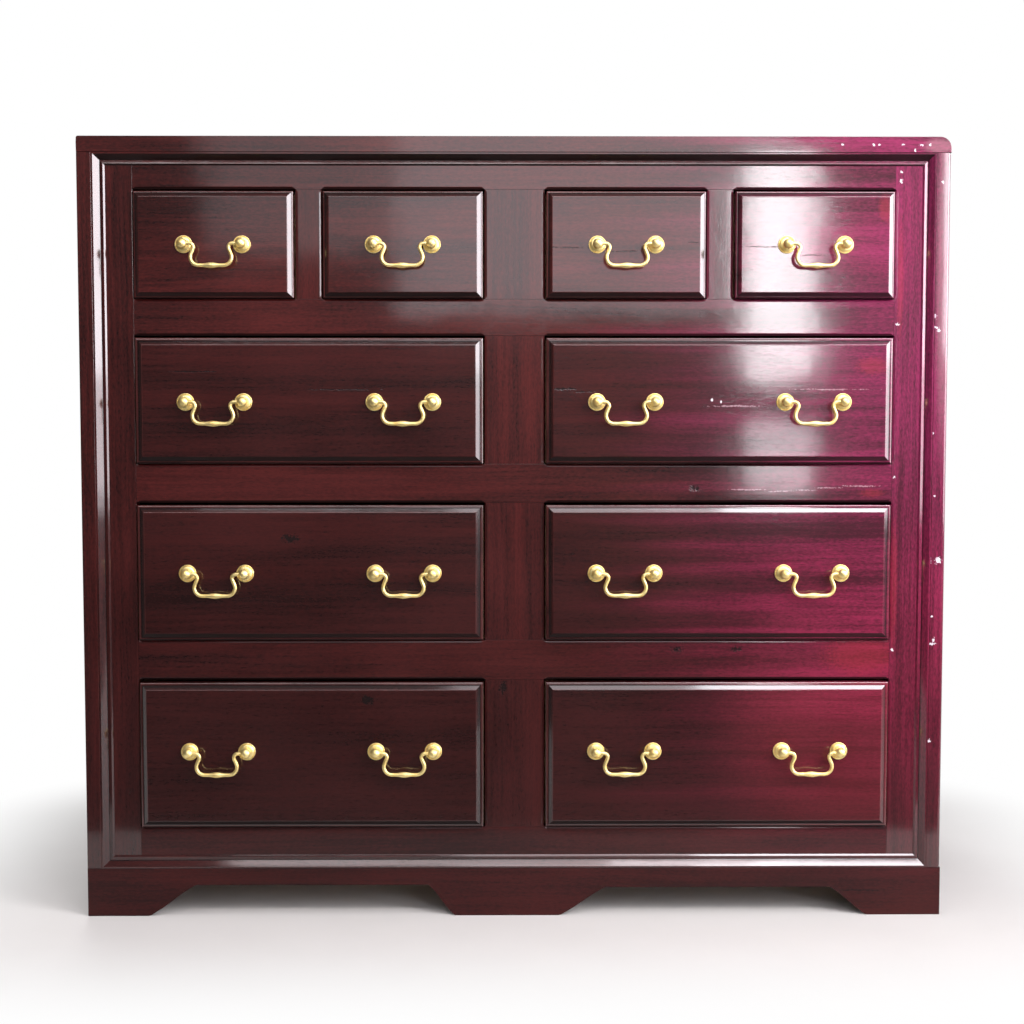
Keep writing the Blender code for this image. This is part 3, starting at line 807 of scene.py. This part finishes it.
def with_painted_light_and_shade(look, place, figure, tone, shade):
    """Brown with painted shade low down, and crimson to violet painted light at the front right."""
    across, back, up = (look.axis(place, name) for name in "XYZ")
    # Painted shade: the brown darkens towards the floor.
    tone = look.times(tone, look.fit(up, *PAINTED_SHADE_TOWARDS_FLOOR))
    brown = look.mix(look.times(tone, shade), *BROWN)
    # Painted light from the right: crimson to violet on the front, higher up and to the right.
    painted_red_light = look.mix(look.fit(up, *PAINTED_VIOLET_UP), look.mix(tone, *PAINTED_LIGHT_CRIMSON), look.mix(tone, *PAINTED_LIGHT_VIOLET))
    streaked = look.added(across, (look.math("SUBTRACT", figure, 0.5), PAINTED_LIGHT_STREAKS))
    painted_light_share = look.times(
        look.fit(streaked, *PAINTED_LIGHT_TO_RIGHT), look.fit(up, *PAINTED_LIGHT_UP), look.fit(back, *PAINTED_LIGHT_TO_FRONT)
    )
    return look.mix(painted_light_share, brown, painted_red_light)


def aged(look, place, wood, underside_shade):
    """Wood rubbed pale on eased edges, dirty in joints, with painted shade in inner corners and
    underneath.
    """
    rubbed = look.fit(look.noise(place, RUBBED_SCALE, FINE), *WEAR_RANGE)
    wood = look.mix(look.times(look.attribute("wear"), rubbed), wood, WORN_COLOUR)
    # Dirt in joints and painted shade in inner corners, and painted shade all over what lies
    # underneath.
    dirt_and_painted_shade = look.times(look.attribute("dirt_and_painted_shade"), DIRT_AND_PAINTED_SHADE_SHARE)
    if underside_shade:
        dirt_and_painted_shade = look.most(dirt_and_painted_shade, underside_shade)
    return look.mix(dirt_and_painted_shade, wood, DIRT_AND_PAINTED_SHADE_COLOUR)


def marked(look, place, marks, wood, rough, height):
    """Wood, roughness and height with a piece's marks: dark ones are dents, and chips are dull."""
    shaken = ragged(look, place, MARK_WAVER)
    rim = look.math("MULTIPLY_ADD", look.noise(place, RIM_SCALE), 2.0, -1.0)
    for kind, (tint, strength, uneven) in MARK_KINDS.items():
        if kind not in marks:
            continue
        found = look.most(*(spot(look, shaken, rim, uneven, mark) for mark in marks[kind]))
        wood = look.mix(look.times(found, strength), wood, tint)
        if kind == "dark":
            height = look.added(height, (found, DARK_MARK_RISE))
        if kind == "chip":
            rough = look.most(rough, look.times(found, CHIP_ROUGHNESS))
    return wood, rough, height


def mahogany(name, marks=None, polish=1.0, underside_shade=0.0, shade=1.0, smooth=SATIN):
    """Polished mahogany with red painted light front right, wear, painted shade and a piece's marks.
    """
    look = Look(name)
    grain, place = bent_grain(look, GRAIN_WANDER), look.place()
    figure = look.noise(grain, FIGURE_SCALE, FINE)
    streaks = look.noise(grain, STREAK_SCALE)
    pores = look.fit(look.noise(grain, PORE_SCALE, COARSE), *PORE_RANGE)
    clouds = look.noise(place, CLOUD_SCALE)
    mottle = look.noise(grain, MOTTLE_SCALE)

    tone = look.times(figure, FIGURE_SHARE)
    shares = (streaks, STREAK_SHARE), (mottle, MOTTLE_SHARE), (clouds, CLOUD_SHARE)
    tone = look.added(tone, *shares)
    wood = with_painted_light_and_shade(look, place, figure, look.fit(tone, *TONE_RANGE), shade)
    wood = look.mix(look.times(pores, PORE_SHARE), wood, PORE_COLOUR)
    wood = aged(look, place, wood, underside_shade)

    rough = look.added(clouds, (streaks, STREAK_ROUGHNESS))
    rough = look.fit(rough, *ROUGH_RANGE, smooth, smooth + ROUGH_SPREAD)
    ripple = look.noise(place, RIPPLE_SCALE, COARSE)
    waves = look.noise(place, WAVE_SCALE, COARSE)
    height = look.added(ripple, (waves, WAVE_RISE), (streaks, STREAK_RISE), (pores, PORE_RISE))
    if marks:
        wood, rough, height = marked(look, place, marks, wood, rough, height)

    look.shade(Base_Color=wood, Roughness=rough, Specular_IOR_Level=WOOD_SPECULAR)
    look.shade(Coat_Weight=polish, Coat_Roughness=COAT_ROUGHNESS, Coat_IOR=COAT_IOR)
    look.shade(Coat_Normal=look.bump(height, *MAHOGANY_BUMP))
    return look.material


POLISHED = mahogany("polished_mahogany")
POLISHED_FRONT = mahogany("polished_drawer_mahogany", shade=FRONT_SHADE)
# Copy for what faces down: little polish, and darkened all over with painted shade.
UNPOLISHED_PAINTED_SHADE = mahogany("unpolished_mahogany_painted_shade", polish=0.06, underside_shade=0.8)
WORN_TOP = mahogany("worn_top_mahogany", polish=0.0, smooth=0.75)


def mahogany_for(piece):
    """The polished wood that most pieces share, or a piece's own with its marks and dull polish."""
    wide_front = piece.removesuffix("_front") in WIDE_DRAWERS
    if piece in MARKS or piece in DULL:
        shade = FRONT_SHADE if wide_front else 1.0
        polish = DULL.get(piece, 1.0)
        return mahogany("mahogany_of_" + piece, MARKS.get(piece), polish, shade=shade)
    return POLISHED_FRONT if wide_front else POLISHED


def add_mahogany(name, mesh, body, grain, *replaced):
    """Polished mahogany, with painted shade and little polish underneath; the chest's top has lost
    its polish.
    """
    set_grain(mesh, grain)
    set_wear(mesh)
    add_piece(name + "_wood", mesh, body, "mahogany", mahogany_for(name), *replaced)
    mesh.materials.append(UNPOLISHED_PAINTED_SHADE)
    if name == "top_board":
        mesh.materials.append(WORN_TOP)
    for face in mesh.polygons:
        # Faces that point down take the copy with painted shade.
        face.material_index = 1 if face.normal.z < UNDERSIDE else 0
        if name == "top_board" and face.normal.z > TOPSIDE:
            face.material_index = 2


def plain_wood(name, dark, light, roughness):
    """Bare or waxed secondary wood with open grain."""
    look = Look(name)
    grain = bent_grain(look, PLAIN_WANDER)
    figure = look.noise(grain, PLAIN_FIGURE_SCALE, FINE)
    streaks = look.noise(grain, PLAIN_STREAK_SCALE, FINE)
    stains = look.noise(look.place(), STAIN_SCALE, FINE)
    tone = look.added(figure, (streaks, PLAIN_STREAK_SHARE))
    wood = look.mix(look.fit(tone, *PLAIN_TONE_RANGE), dark, light)
    stained = [part * STAIN_SHADE for part in dark]
    wood = look.mix(look.fit(stains, *STAIN_RANGE), wood, stained)
    low, high = roughness - PLAIN_ROUGH_SPREAD, roughness + PLAIN_ROUGH_SPREAD
    look.shade(Base_Color=wood, Roughness=look.fit(streaks, *PLAIN_STREAK_RANGE, low, high))
    look.shade(Specular_IOR_Level=PLAIN_SPECULAR)
    look.bump(tone, *PLAIN_BUMP)
    return look.material


def brass(name):
    """Polished cast brass with a little tarnish."""
    look = Look(name)
    place = look.place()
    tarnish = look.noise(place, TARNISH_SCALE, FINE)
    metal = look.mix(look.fit(tarnish, *TARNISH_RANGE), *BRASS_COLOURS)
    look.shade(Base_Color=metal, Metallic=1.0, Roughness=look.fit(tarnish, *BRASS_ROUGHNESS))
    look.bump(look.noise(place, DENT_SCALE), *BRASS_BUMP)
    return look.material


def iron(name):
    look = Look(name)
    rust = look.noise(look.place(), RUST_SCALE, FINE)
    look.shade(Base_Color=look.mix(rust, *IRON_COLOURS))
    look.shade(Roughness=IRON_ROUGHNESS, Metallic=IRON_METALLIC)
    look.bump(rust, *IRON_BUMP)
    return look.material


LINING = plain_wood("drawer_wood", (0.2, 0.11, 0.055), (0.46, 0.3, 0.17), 0.62)
# Tails darker than the lining: painted shade, for they sit in the shadow of the gap.
TAIL_WOOD_PAINTED_SHADE = plain_wood("drawer_tail_wood", (0.06, 0.03, 0.016), (0.17, 0.095, 0.05), 0.7)
BACK_WOOD = plain_wood("back_board_wood", (0.085, 0.042, 0.022), (0.25, 0.14, 0.075), 0.72)
BRASS = brass("polished_brass")
IRON = iron("nail_iron")


# Case

def add_outlined_board(node, along, grain, low_arris=BOARD_ARRIS, high_arris=BOARD_ARRIS):
    """A case board with a shaped outline across an axis, rebuilt with eased edges."""
    low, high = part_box(node)
    w = AXES[along][2]
    rings = prism(outline_of(node, along), along, low[w], high[w], low_arris, high_arris)
    add_mahogany(node, lofts(node, [rings]), "case", grain, node)


def opening_of(drawer):
    """The opening that a drawer front fills: low and high X, low and high Z."""
    low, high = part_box(drawer + "_front")
    return (
        low.x - FRONT_SIDE_GAP, high.x + FRONT_SIDE_GAP,
        low.z - FRONT_BOTTOM_GAP, high.z + FRONT_TOP_GAP,
    )


OPENINGS = [opening_of(drawer) for drawer in SMALL_DRAWERS + WIDE_DRAWERS]


def chamfer_at(level, stretches, full):
    """Share of the chamfer on a frame edge: a full one beside an opening, almost none at a joint."""
    inside = [min(level - start, end - level) / CHAMFER_RUN_OUT for start, end in stretches]
    share = min(1.0, max([0.0] + inside))
    return JOINT_SHARE + (full - JOINT_SHARE) * sin(pi / 2 * share)


def frame_section(low, high, front, back, low_share, high_share):
    """A frame member's section, across and in depth, with its two front edges chamfered."""
    points = [Vector((low, back)), Vector((high, back))]
    for side, edge, share in ((-1, high, high_share), (1, low, low_share)):
        slope = [(edge, front + CHAMFER_H * share), (edge + side * CHAMFER_W * share, front)]
        points += bulged(*slope[::-side], -CHAMFER_BULGE * share, SLOPE_STEPS)
    return points


def add_frame_member(node):
    """A stile, rail or muntin whose edges are chamfered beside the drawers."""
    low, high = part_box(node)
    upright = high.z - low.z > high.x - low.x
    across, along = (0, 2) if upright else (2, 0)
    edges = []
    for level, side in ((low[across], 1), (high[across], 0)):
        near = [o for o in OPENINGS if abs(o[across + side] - level) < EDGE_TOLERANCE]
        stretches = [(o[along], o[along + 1]) for o in near]
        edges.append([s for s in stretches if s[1] > low[along] and s[0] < high[along]])
    full = PLAIN_EDGE_SHARE if node in PLAIN_EDGED else 1.0
    stations = {low[along], high[along]}
    for start, end in edges[0] + edges[1]:
        for part in RUN_OUT_PARTS:
            stations |= {start + part * CHAMFER_RUN_OUT, end - part * CHAMFER_RUN_OUT}
    rings = []
    for station in sorted(s for s in stations if low[along] <= s <= high[along]):
        shares = [chamfer_at(station, stretches, full) for stretches in edges]
        section = frame_section(low[across], high[across], low.y, high.y, *shares)
        rings.append([placed((across, 1, along), *point, station) for point in section])
    mesh = lofts(node, [rings])
    add_mahogany(node, mesh, "case", "Z" if upright else "X", node)


def moulding_profile(back):
    """Inset and depth of the moulding's section: flat, hollow slope, ridge and rim."""
    flat_end = (MOULDING_FLAT_W, 0.0)
    hollow = (MOULDING_FLAT_W + HOLLOW_SLOPE_W, HOLLOW_DEPTH)
    ridge = (hollow[0] + RIDGE_SLOPE_W, RIDGE_DEPTH)
    rim = (ridge[0] + RIM_SLOPE_W, RIM_DEPTH)
    profile = [Vector((0.0, back)), Vector((0.0, 0.0))]
    profile += bulged(flat_end, hollow, SLOPE_BULGE, SLOPE_STEPS)
    profile += bulged(hollow, ridge, SLOPE_BULGE / 2, SLOPE_STEPS)[1:]
    profile += bulged(ridge, rim, SLOPE_BULGE / 2, SLOPE_STEPS)[1:]
    return profile + [Vector((rim[0], back))]


def add_moulding():
    """Four mitred lengths, each with the slight waver of a plane worked by hand."""
    low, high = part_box("front_moulding")
    back = high.y - low.y
    profile = moulding_profile(back)
    corners = [Vector((x, z)) for x, _, z in rectangle(low.x, high.x, low.z, high.z, low.y)]
    for side, start, end in zip(MOULDING_SIDES, corners, corners[1:] + corners[:1]):
        name = "moulding_" + side
        run = (end - start).normalized()
        inwards = Vector((-run.y, run.x))
        length = (end - start).length
        rings = []
        for t in sweep(0.0, 1.0, MOULDING_STATIONS):
            waver = draw.uniform(0.0, MOULDING_WAVER) if 0.0 < t < 1.0 else 0.0
            ring = []
            for depth_in, depth in profile:
                reach = depth_in + (length - 2 * depth_in) * t
                point = start + run * reach + inwards * depth_in
                y = low.y + depth + (waver if depth < back else 0.0)
                ring.append(Vector((point.x, y, point.y)))
            rings.append(ring)
        grain = "X" if side in ("top", "bottom") else "Z"
        add_mahogany(name, lofts(name, [rings]), "case", grain, "front_moulding")


def add_drawer_floor(node, row):
    """A board that drawers run on, and the strips that guide them, one behind each upright."""
    low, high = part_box(node)
    top = high.z - GUIDE_H
    mesh = lofts(node, [board(low, Vector((high.x, high.y, top)), "X", BOX_ARRIS)])
    set_grain(mesh, "X")
    add_piece(node + "_wood", mesh, "case", "drawer_lining", LINING, node)
    uprights = ["left_stile", f"centre_muntin_{row}", "right_stile"]
    if row == 1:
        uprights += ["left_small_muntin", "right_small_muntin"]
    strips = []
    for upright in uprights:
        near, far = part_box(upright)
        start = Vector((max(near.x, low.x), low.y, top))
        end = Vector((min(far.x, high.x), high.y, high.z))
        strips.append(board(start, end, "Y", BOX_ARRIS))
    mesh = lofts(node + "_guides", strips)
    set_grain(mesh, "Y")
    add_piece(node + "_guides", mesh, "case", "drawer_lining", LINING, node)


def nail(place):
    """A hammered nail head on the back, facing +Y."""
    rings = []
    for share, rise in NAIL_RINGS:
        reach = NAIL_R * share
        offsets = [(reach * cos(a), rise, reach * sin(a)) for a in circle(NAIL_SIDES)]
        rings.append([place + Vector(offset) for offset in offsets])
    return rings


def add_back():
    """Upright boards with bevelled joints, nailed at top and bottom and to the dustboards."""
    low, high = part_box("back_panel")
    width = (high.x - low.x) / BACK_BOARDS
    levels = [low.z + NAIL_INSET, high.z - NAIL_INSET]
    for floor in DRAWER_FLOORS[:3]:
        under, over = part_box(floor)
        levels.append((under.z + over.z - GUIDE_H) / 2)
    bevel, groove = BACK_GROOVE_W / 2, high.y - BACK_GROOVE_D
    nails = []
    for i in range(BACK_BOARDS):
        left = low.x + width * i + (BACK_BOARD_GAP if i else 0.0)
        right = low.x + width * (i + 1)
        outline = [(left, low.y), (right, low.y), (right, groove), (right - bevel, high.y)]
        outline += [(left + bevel, high.y), (left, groove)]
        outline = [Vector(point) for point in outline]
        rings = prism(outline, "Z", low.z, high.z, BOX_ARRIS, BOX_ARRIS)
        mesh = lofts(f"back_board_{i + 1}", [rings])
        set_grain(mesh, "Z")
        add_piece(f"back_board_{i + 1}", mesh, "case", "back_wood", BACK_WOOD, "back_panel")
        for level in levels:
            for x in (left + 2 * NAIL_INSET, right - 2 * NAIL_INSET):
                shift_x = draw.uniform(-NAIL_SHIFT, NAIL_SHIFT)
                shift_z = draw.uniform(-NAIL_SHIFT, NAIL_SHIFT)
                nails.append(nail(Vector((x, high.y, level)) + Vector((shift_x, 0.0, shift_z))))
    add_piece("back_nails", lofts("back_nails", nails), "case", "back_wood", IRON, "back_panel")


# Drawers

def front_profile(lip_w, back, field):
    """Inset and Y of a drawer front's edge: back, rounded lip, bevel and eased field."""
    edge = field + LIP_H + BEVEL_H
    profile = [(BOX_ARRIS, back), (0.0, back - BOX_ARRIS)]
    for angle in sweep(0.0, pi / 2, ROUND_STEPS):
        profile.append((lip_w * (1 - cos(angle)), edge - LIP_H * sin(angle)))
    slope = atan2(BEVEL_H, BEVEL_W)
    centre = lip_w + BEVEL_W + FIELD_ROUND * tan(slope / 2)
    for angle in sweep(slope, 0.0, ROUND_STEPS):
        y = field + FIELD_ROUND * (1 - cos(angle))
        profile.append((centre - FIELD_ROUND * sin(angle), y))
    return profile


def add_front(drawer, lip_w):
    """A drawer front with a moulded edge, mitred at its corners."""
    node = drawer + "_front"
    low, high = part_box(node)
    rings = []
    for depth, y in front_profile(lip_w, high.y, high.y - FRONT_T):
        left, right = low.x + depth, high.x - depth
        rings.append(rectangle(left, right, low.z + depth, high.z - depth, y))
    mesh = lofts(node, [rings], FRONT_SHARP_ANGLE)
    for edge in mesh.edges:
        first, second = edge.vertices
        if first // 4 != second // 4:
            edge.use_edge_sharp = True
    add_mahogany(node, mesh, drawer, "X", node)


def tails(front, box):
    """Dovetails of both drawer sides, let into the ends of the drawer front."""
    height = box[1].z - box[0].z
    count = max(FEWEST_TAILS, round(height / TAIL_PITCH))
    ends = (box[0].y + TAIL_PROUD, TAIL_NARROW / 2), (box[0].y - TAIL_LENGTH, TAIL_WIDE / 2)
    bodies = []
    for side, corner in zip((-1, 1), front):
        outer, inner = corner.x + side * TAIL_PROUD, corner.x - side * TAIL_T
        for i in range(count):
            middle = box[0].z + height * (i + 0.5) / count
            bodies.append([rectangle(inner, outer, middle - w, middle + w, y) for y, w in ends])
    return bodies


def add_box(drawer):
    """Sides, back and bottom of a drawer, with its dovetails."""
    node = drawer + "_box"
    low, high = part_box(node)
    left, right, rear = low.x + BOX_BOARD_T, high.x - BOX_BOARD_T, high.y - BOX_BOARD_T
    floor = low.z + BOX_BOTTOM_RAISE
    parts = {
        "left": ((low.x, low.y, low.z), (left, high.y, high.z), "Y"),
        "right": ((right, low.y, low.z), (high.x, high.y, high.z), "Y"),
        "back": ((left, rear, floor), (right, high.y, high.z), "X"),
        "bottom": ((left, low.y, floor), (right, rear, floor + BOX_BOTTOM_T), "X"),
    }
    for part, (near, far, along) in parts.items():
        rings = board(Vector(near), Vector(far), along, BOX_ARRIS)
        mesh = lofts(f"{drawer}_{part}", [rings])
        set_grain(mesh, along)
        add_piece(f"{drawer}_{part}", mesh, drawer, "drawer_lining", LINING, node)
    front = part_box(drawer + "_front")
    mesh = lofts(drawer + "_tails", tails(front, (low, high)))
    set_grain(mesh, "Y")
    add_piece(drawer + "_tails", mesh, drawer, "drawer_lining", TAIL_WOOD_PAINTED_SHADE, node)


# Handles

def post_profile():
    """Radius and height of a handle post, from its root to the top of its ball."""
    rim = (ROSETTE_R - ROSETTE_RIM, ROSETTE_EDGE_T)
    points = arc(rim, ROSETTE_RIM, 0.0, ROSETTE_RIM_TURN, ROSETTE_RIM_STEPS)
    for angle in sweep(0.0, pi / 2, DOME_STEPS):
        radius = COLLAR_R + (DOME_R - COLLAR_R) * cos(angle)
        points.append((radius, ROSETTE_EDGE_T + DOME_H * sin(angle)))
    collar = ROSETTE_EDGE_T + DOME_H + COLLAR_T
    points += [(COLLAR_R, collar), (NECK_R, collar + NECK_TAPER_H)]
    waist, tip = -acos(NECK_R / BALL_R), pi / 2 - BALL_TIP_ANGLE
    points += arc((0.0, BALL_OUT), BALL_R, waist, tip, BALL_STEPS)
    return [(ROSETTE_R, -POST_EMBED)] + [tuple(point) for point in points]


def bored_post(side):
    """A turned post at the origin, facing -Y, bored for a bail's pin; side is -1 on the left."""
    angles = circle(POST_SIDES)
    rings = []
    for radius, height in post_profile():
        rings.append([(radius * cos(a), -height, radius * sin(a)) for a in angles])
    post = add_object("post", lofts("post", [rings]))
    hole_r = BAIL_R + PIN_CLEAR
    rings = []
    for reach in (-(PIN_PAST_CENTRE + PIN_CLEAR), 2 * BALL_R):
        x = -side * reach
        rings.append([(x, -BALL_OUT + hole_r * cos(a), hole_r * sin(a)) for a in angles])
    hole = add_object("hole", lofts("hole", [rings]))
    cut = post.modifiers.new("bore", "BOOLEAN")
    cut.object = hole
    cut.solver = "EXACT"
    bpy.context.view_layer.update()
    graph = bpy.context.evaluated_depsgraph_get()
    made = bpy.data.meshes.new_from_object(post.evaluated_get(graph))
    points = [vertex.co.copy() for vertex in made.vertices]
    faces = [tuple(face.vertices) for face in made.polygons]
    for obj in (post, hole):
        bpy.data.objects.remove(obj, do_unlink=True)
    return points, faces


POSTS = {side: bored_post(side) for side in (-1, 1)}


def add_posts(bail, drawer, centre):
    """The two posts that a bail hangs between."""
    points, faces = [], []
    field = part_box(drawer + "_front")[1].y - FRONT_T
    for side, (post_points, post_faces) in POSTS.items():
        place = Vector((centre.x + side * POST_SPACING / 2, field, centre.z))
        faces += [tuple(len(points) + i for i in face) for face in post_faces]
        points += [place + point for point in post_points]
    name = bail.replace("bail", "posts")
    mesh = finished(new_mesh(name, points, faces))
    add_piece(name, mesh, drawer, "brass", BRASS, drawer + "_front")


def bail_half():
    """Centreline of half a bail, from the middle of its grip to its pin, across and up."""
    corner = Vector((BAIL_BAR / 2, -BAIL_DROP + BAIL_CORNER_R))
    neck = Vector((POST_SPACING / 2 - BAIL_NECK_IN + BAIL_NECK_R, -BAIL_NECK_R))
    run = neck - corner
    heading = atan2(run.y, run.x) + asin((BAIL_CORNER_R + BAIL_NECK_R) / run.length)
    bar = sweep(0.0, BAIL_BAR / 2, BAIL_BAR_STEPS)[:-1]
    path = [Vector((x, -BAIL_DROP)) for x in bar]
    path += arc(corner, BAIL_CORNER_R, -pi / 2, heading - pi / 2, BAIL_TURN_STEPS)
    path += arc(neck, BAIL_NECK_R, heading + pi / 2, pi / 2, BAIL_TURN_STEPS)
    return path + [Vector((POST_SPACING / 2 + PIN_PAST_CENTRE, 0.0))]


def rod_radius(point):
    """Radius of a bail at a point of its centreline: it swells in the middle of its grip."""
    on_grip = point.y < BAIL_CORNER_R - BAIL_DROP
    share = min(1.0, abs(point.x) / BAIL_GRIP_HALF) if on_grip else 1.0
    return BAIL_R + (BAIL_GRIP_R - BAIL_R) * cos(pi / 2 * share) ** 2


def add_bail(bail, centre):
    """A swan-neck bail, bent from a rod."""
    half = bail_half()
    path = [Vector((-point.x, point.y)) for point in reversed(half[1:])] + half
    across = Vector((0.0, 1.0, 0.0))
    rings = []
    for i, point in enumerate(path):
        ahead = path[min(i + 1, len(path) - 1)] - path[max(i - 1, 0)]
        normal = Vector((-ahead.y, 0.0, ahead.x)).normalized()
        middle, radius = centre + Vector((point.x, 0.0, point.y)), rod_radius(point)
        ways = [normal * cos(a) + across * sin(a) for a in circle(BAIL_SIDES)]
        rings.append([middle + way * radius for way in ways])
    add_piece(bail + "_rod", lofts(bail, [rings]), bail, "brass", BRASS, bail)


# Stage

def add_floor():
    """A pale floor that fades to white a little way off; in reflections, only behind the chest."""
    look = Look("floor_paint")
    place = look.place()
    paint = look.mix(look.noise(place, SPECKLE_SCALE, FINE), *FLOOR_COLOURS)
    look.shade(Base_Color=paint, Roughness=FLOOR_ROUGHNESS, Specular_IOR_Level=FLOOR_SPECULAR)
    foot = CAD_BOX[1]
    off = look.vector("SUBTRACT", look.vector("ABSOLUTE", place), (foot.x, foot.y, 0.0))
    away = look.length(look.vector("MAXIMUM", off, (0.0, 0.0, 0.0)))
    seen, mirrored = look.rays()
    behind = look.fit(look.axis(place, "Y"), *FLOOR_BEHIND)
    seen = look.most(seen, look.times(mirrored, behind))
    fade = look.times(seen, look.fit(away, *FLOOR_FADE))
    white = look.node("Emission", {"Color": WHITE, "Strength": 1.0})
    joined = look.node("MixShader", {0: fade, 1: look.shader.outputs[0], 2: white.outputs[0]})
    look.put(look.tree.nodes["Material Output"].inputs["Surface"], joined.outputs[0])
    left, right, front, back = FLOOR_EDGES
    corners = [(left, front, 0), (right, front, 0), (right, back, 0), (left, back, 0)]
    mesh = new_mesh("floor", corners, [(0, 1, 2, 3)])
    mesh.materials.append(look.material)
    floor = add_object("floor", mesh)


def set_world():
    """Soft light, white to the camera and in reflections of what is behind the chest."""
    world = bpy.data.worlds.new("studio")
    bpy.context.scene.world = world
    world.use_nodes = True
    nodes = Nodes(world.node_tree)
    seen, mirrored = nodes.rays()
    direction = nodes.node("TexCoord").outputs["Generated"]
    backdrop = nodes.fit(nodes.axis(direction, "Y"), *ROOM_BEHIND, ROOM_SEEN)
    level = nodes.level(mirrored, ROOM_LIGHT, backdrop)
    level = nodes.level(seen, level, 1.0)
    background = nodes.tree.nodes["Background"]
    nodes.put(background.inputs["Strength"], level)
    nodes.put(background.inputs["Color"], WHITE)


def add_lamp(name, place, target, size, brightness, tint):
    """A soft box that faces a target; a brightness of 1 shows as white."""
    data = bpy.data.lights.new(name, "AREA")
    data.shape = "RECTANGLE"
    data.size, data.size_y = size
    data.energy = brightness * pi * data.size * data.size_y
    data.color = tint
    lamp = add_object(name, data)
    lamp.location = place
    facing = Vector(target) - Vector(place)
    lamp.rotation_euler = facing.to_track_quat("-Z", "Y").to_euler()
    lamp.visible_camera = False
    lamp.visible_diffuse = name not in ONLY_MIRRORED
    lamp.visible_glossy = name not in ONLY_LIGHTING


def add_camera():
    camera = add_object("camera", bpy.data.cameras.new("camera"))
    camera.data.lens = CAMERA_LENS
    camera.location = CAMERA_PLACE
    camera.rotation_euler = (pi / 2 - CAMERA_DIP, 0.0, CAMERA_YAW)
    bpy.context.scene.camera = camera


for lamp_name, settings in LAMPS.items():
    add_lamp(lamp_name, *settings)
set_world()
add_floor()
add_camera()
bpy.context.scene.view_settings.view_transform = "Standard"

add_outlined_board("top_board", "Y", "X")
add_outlined_board("left_side", "X", "Z")
add_outlined_board("right_side", "X", "Z", high_arris=OUTER_ARRIS)
add_outlined_board("base_front", "Y", "X", BASE_ARRIS)
for member in FRAME_MEMBERS:
    add_frame_member(member)
add_moulding()
for row, floor_node in enumerate(DRAWER_FLOORS, start=1):
    add_drawer_floor(floor_node, row)
add_back()
for drawer in SMALL_DRAWERS + WIDE_DRAWERS:
    add_front(drawer, SMALL_LIP_W if drawer in SMALL_DRAWERS else WIDE_LIP_W)
    add_box(drawer)
for joint in frame["joints"]:
    if joint["type"] == "hinge":
        axis = Vector(joint["pos_m"])
        add_posts(joint["child"], joint["parent"], axis)
        add_bail(joint["child"], axis)
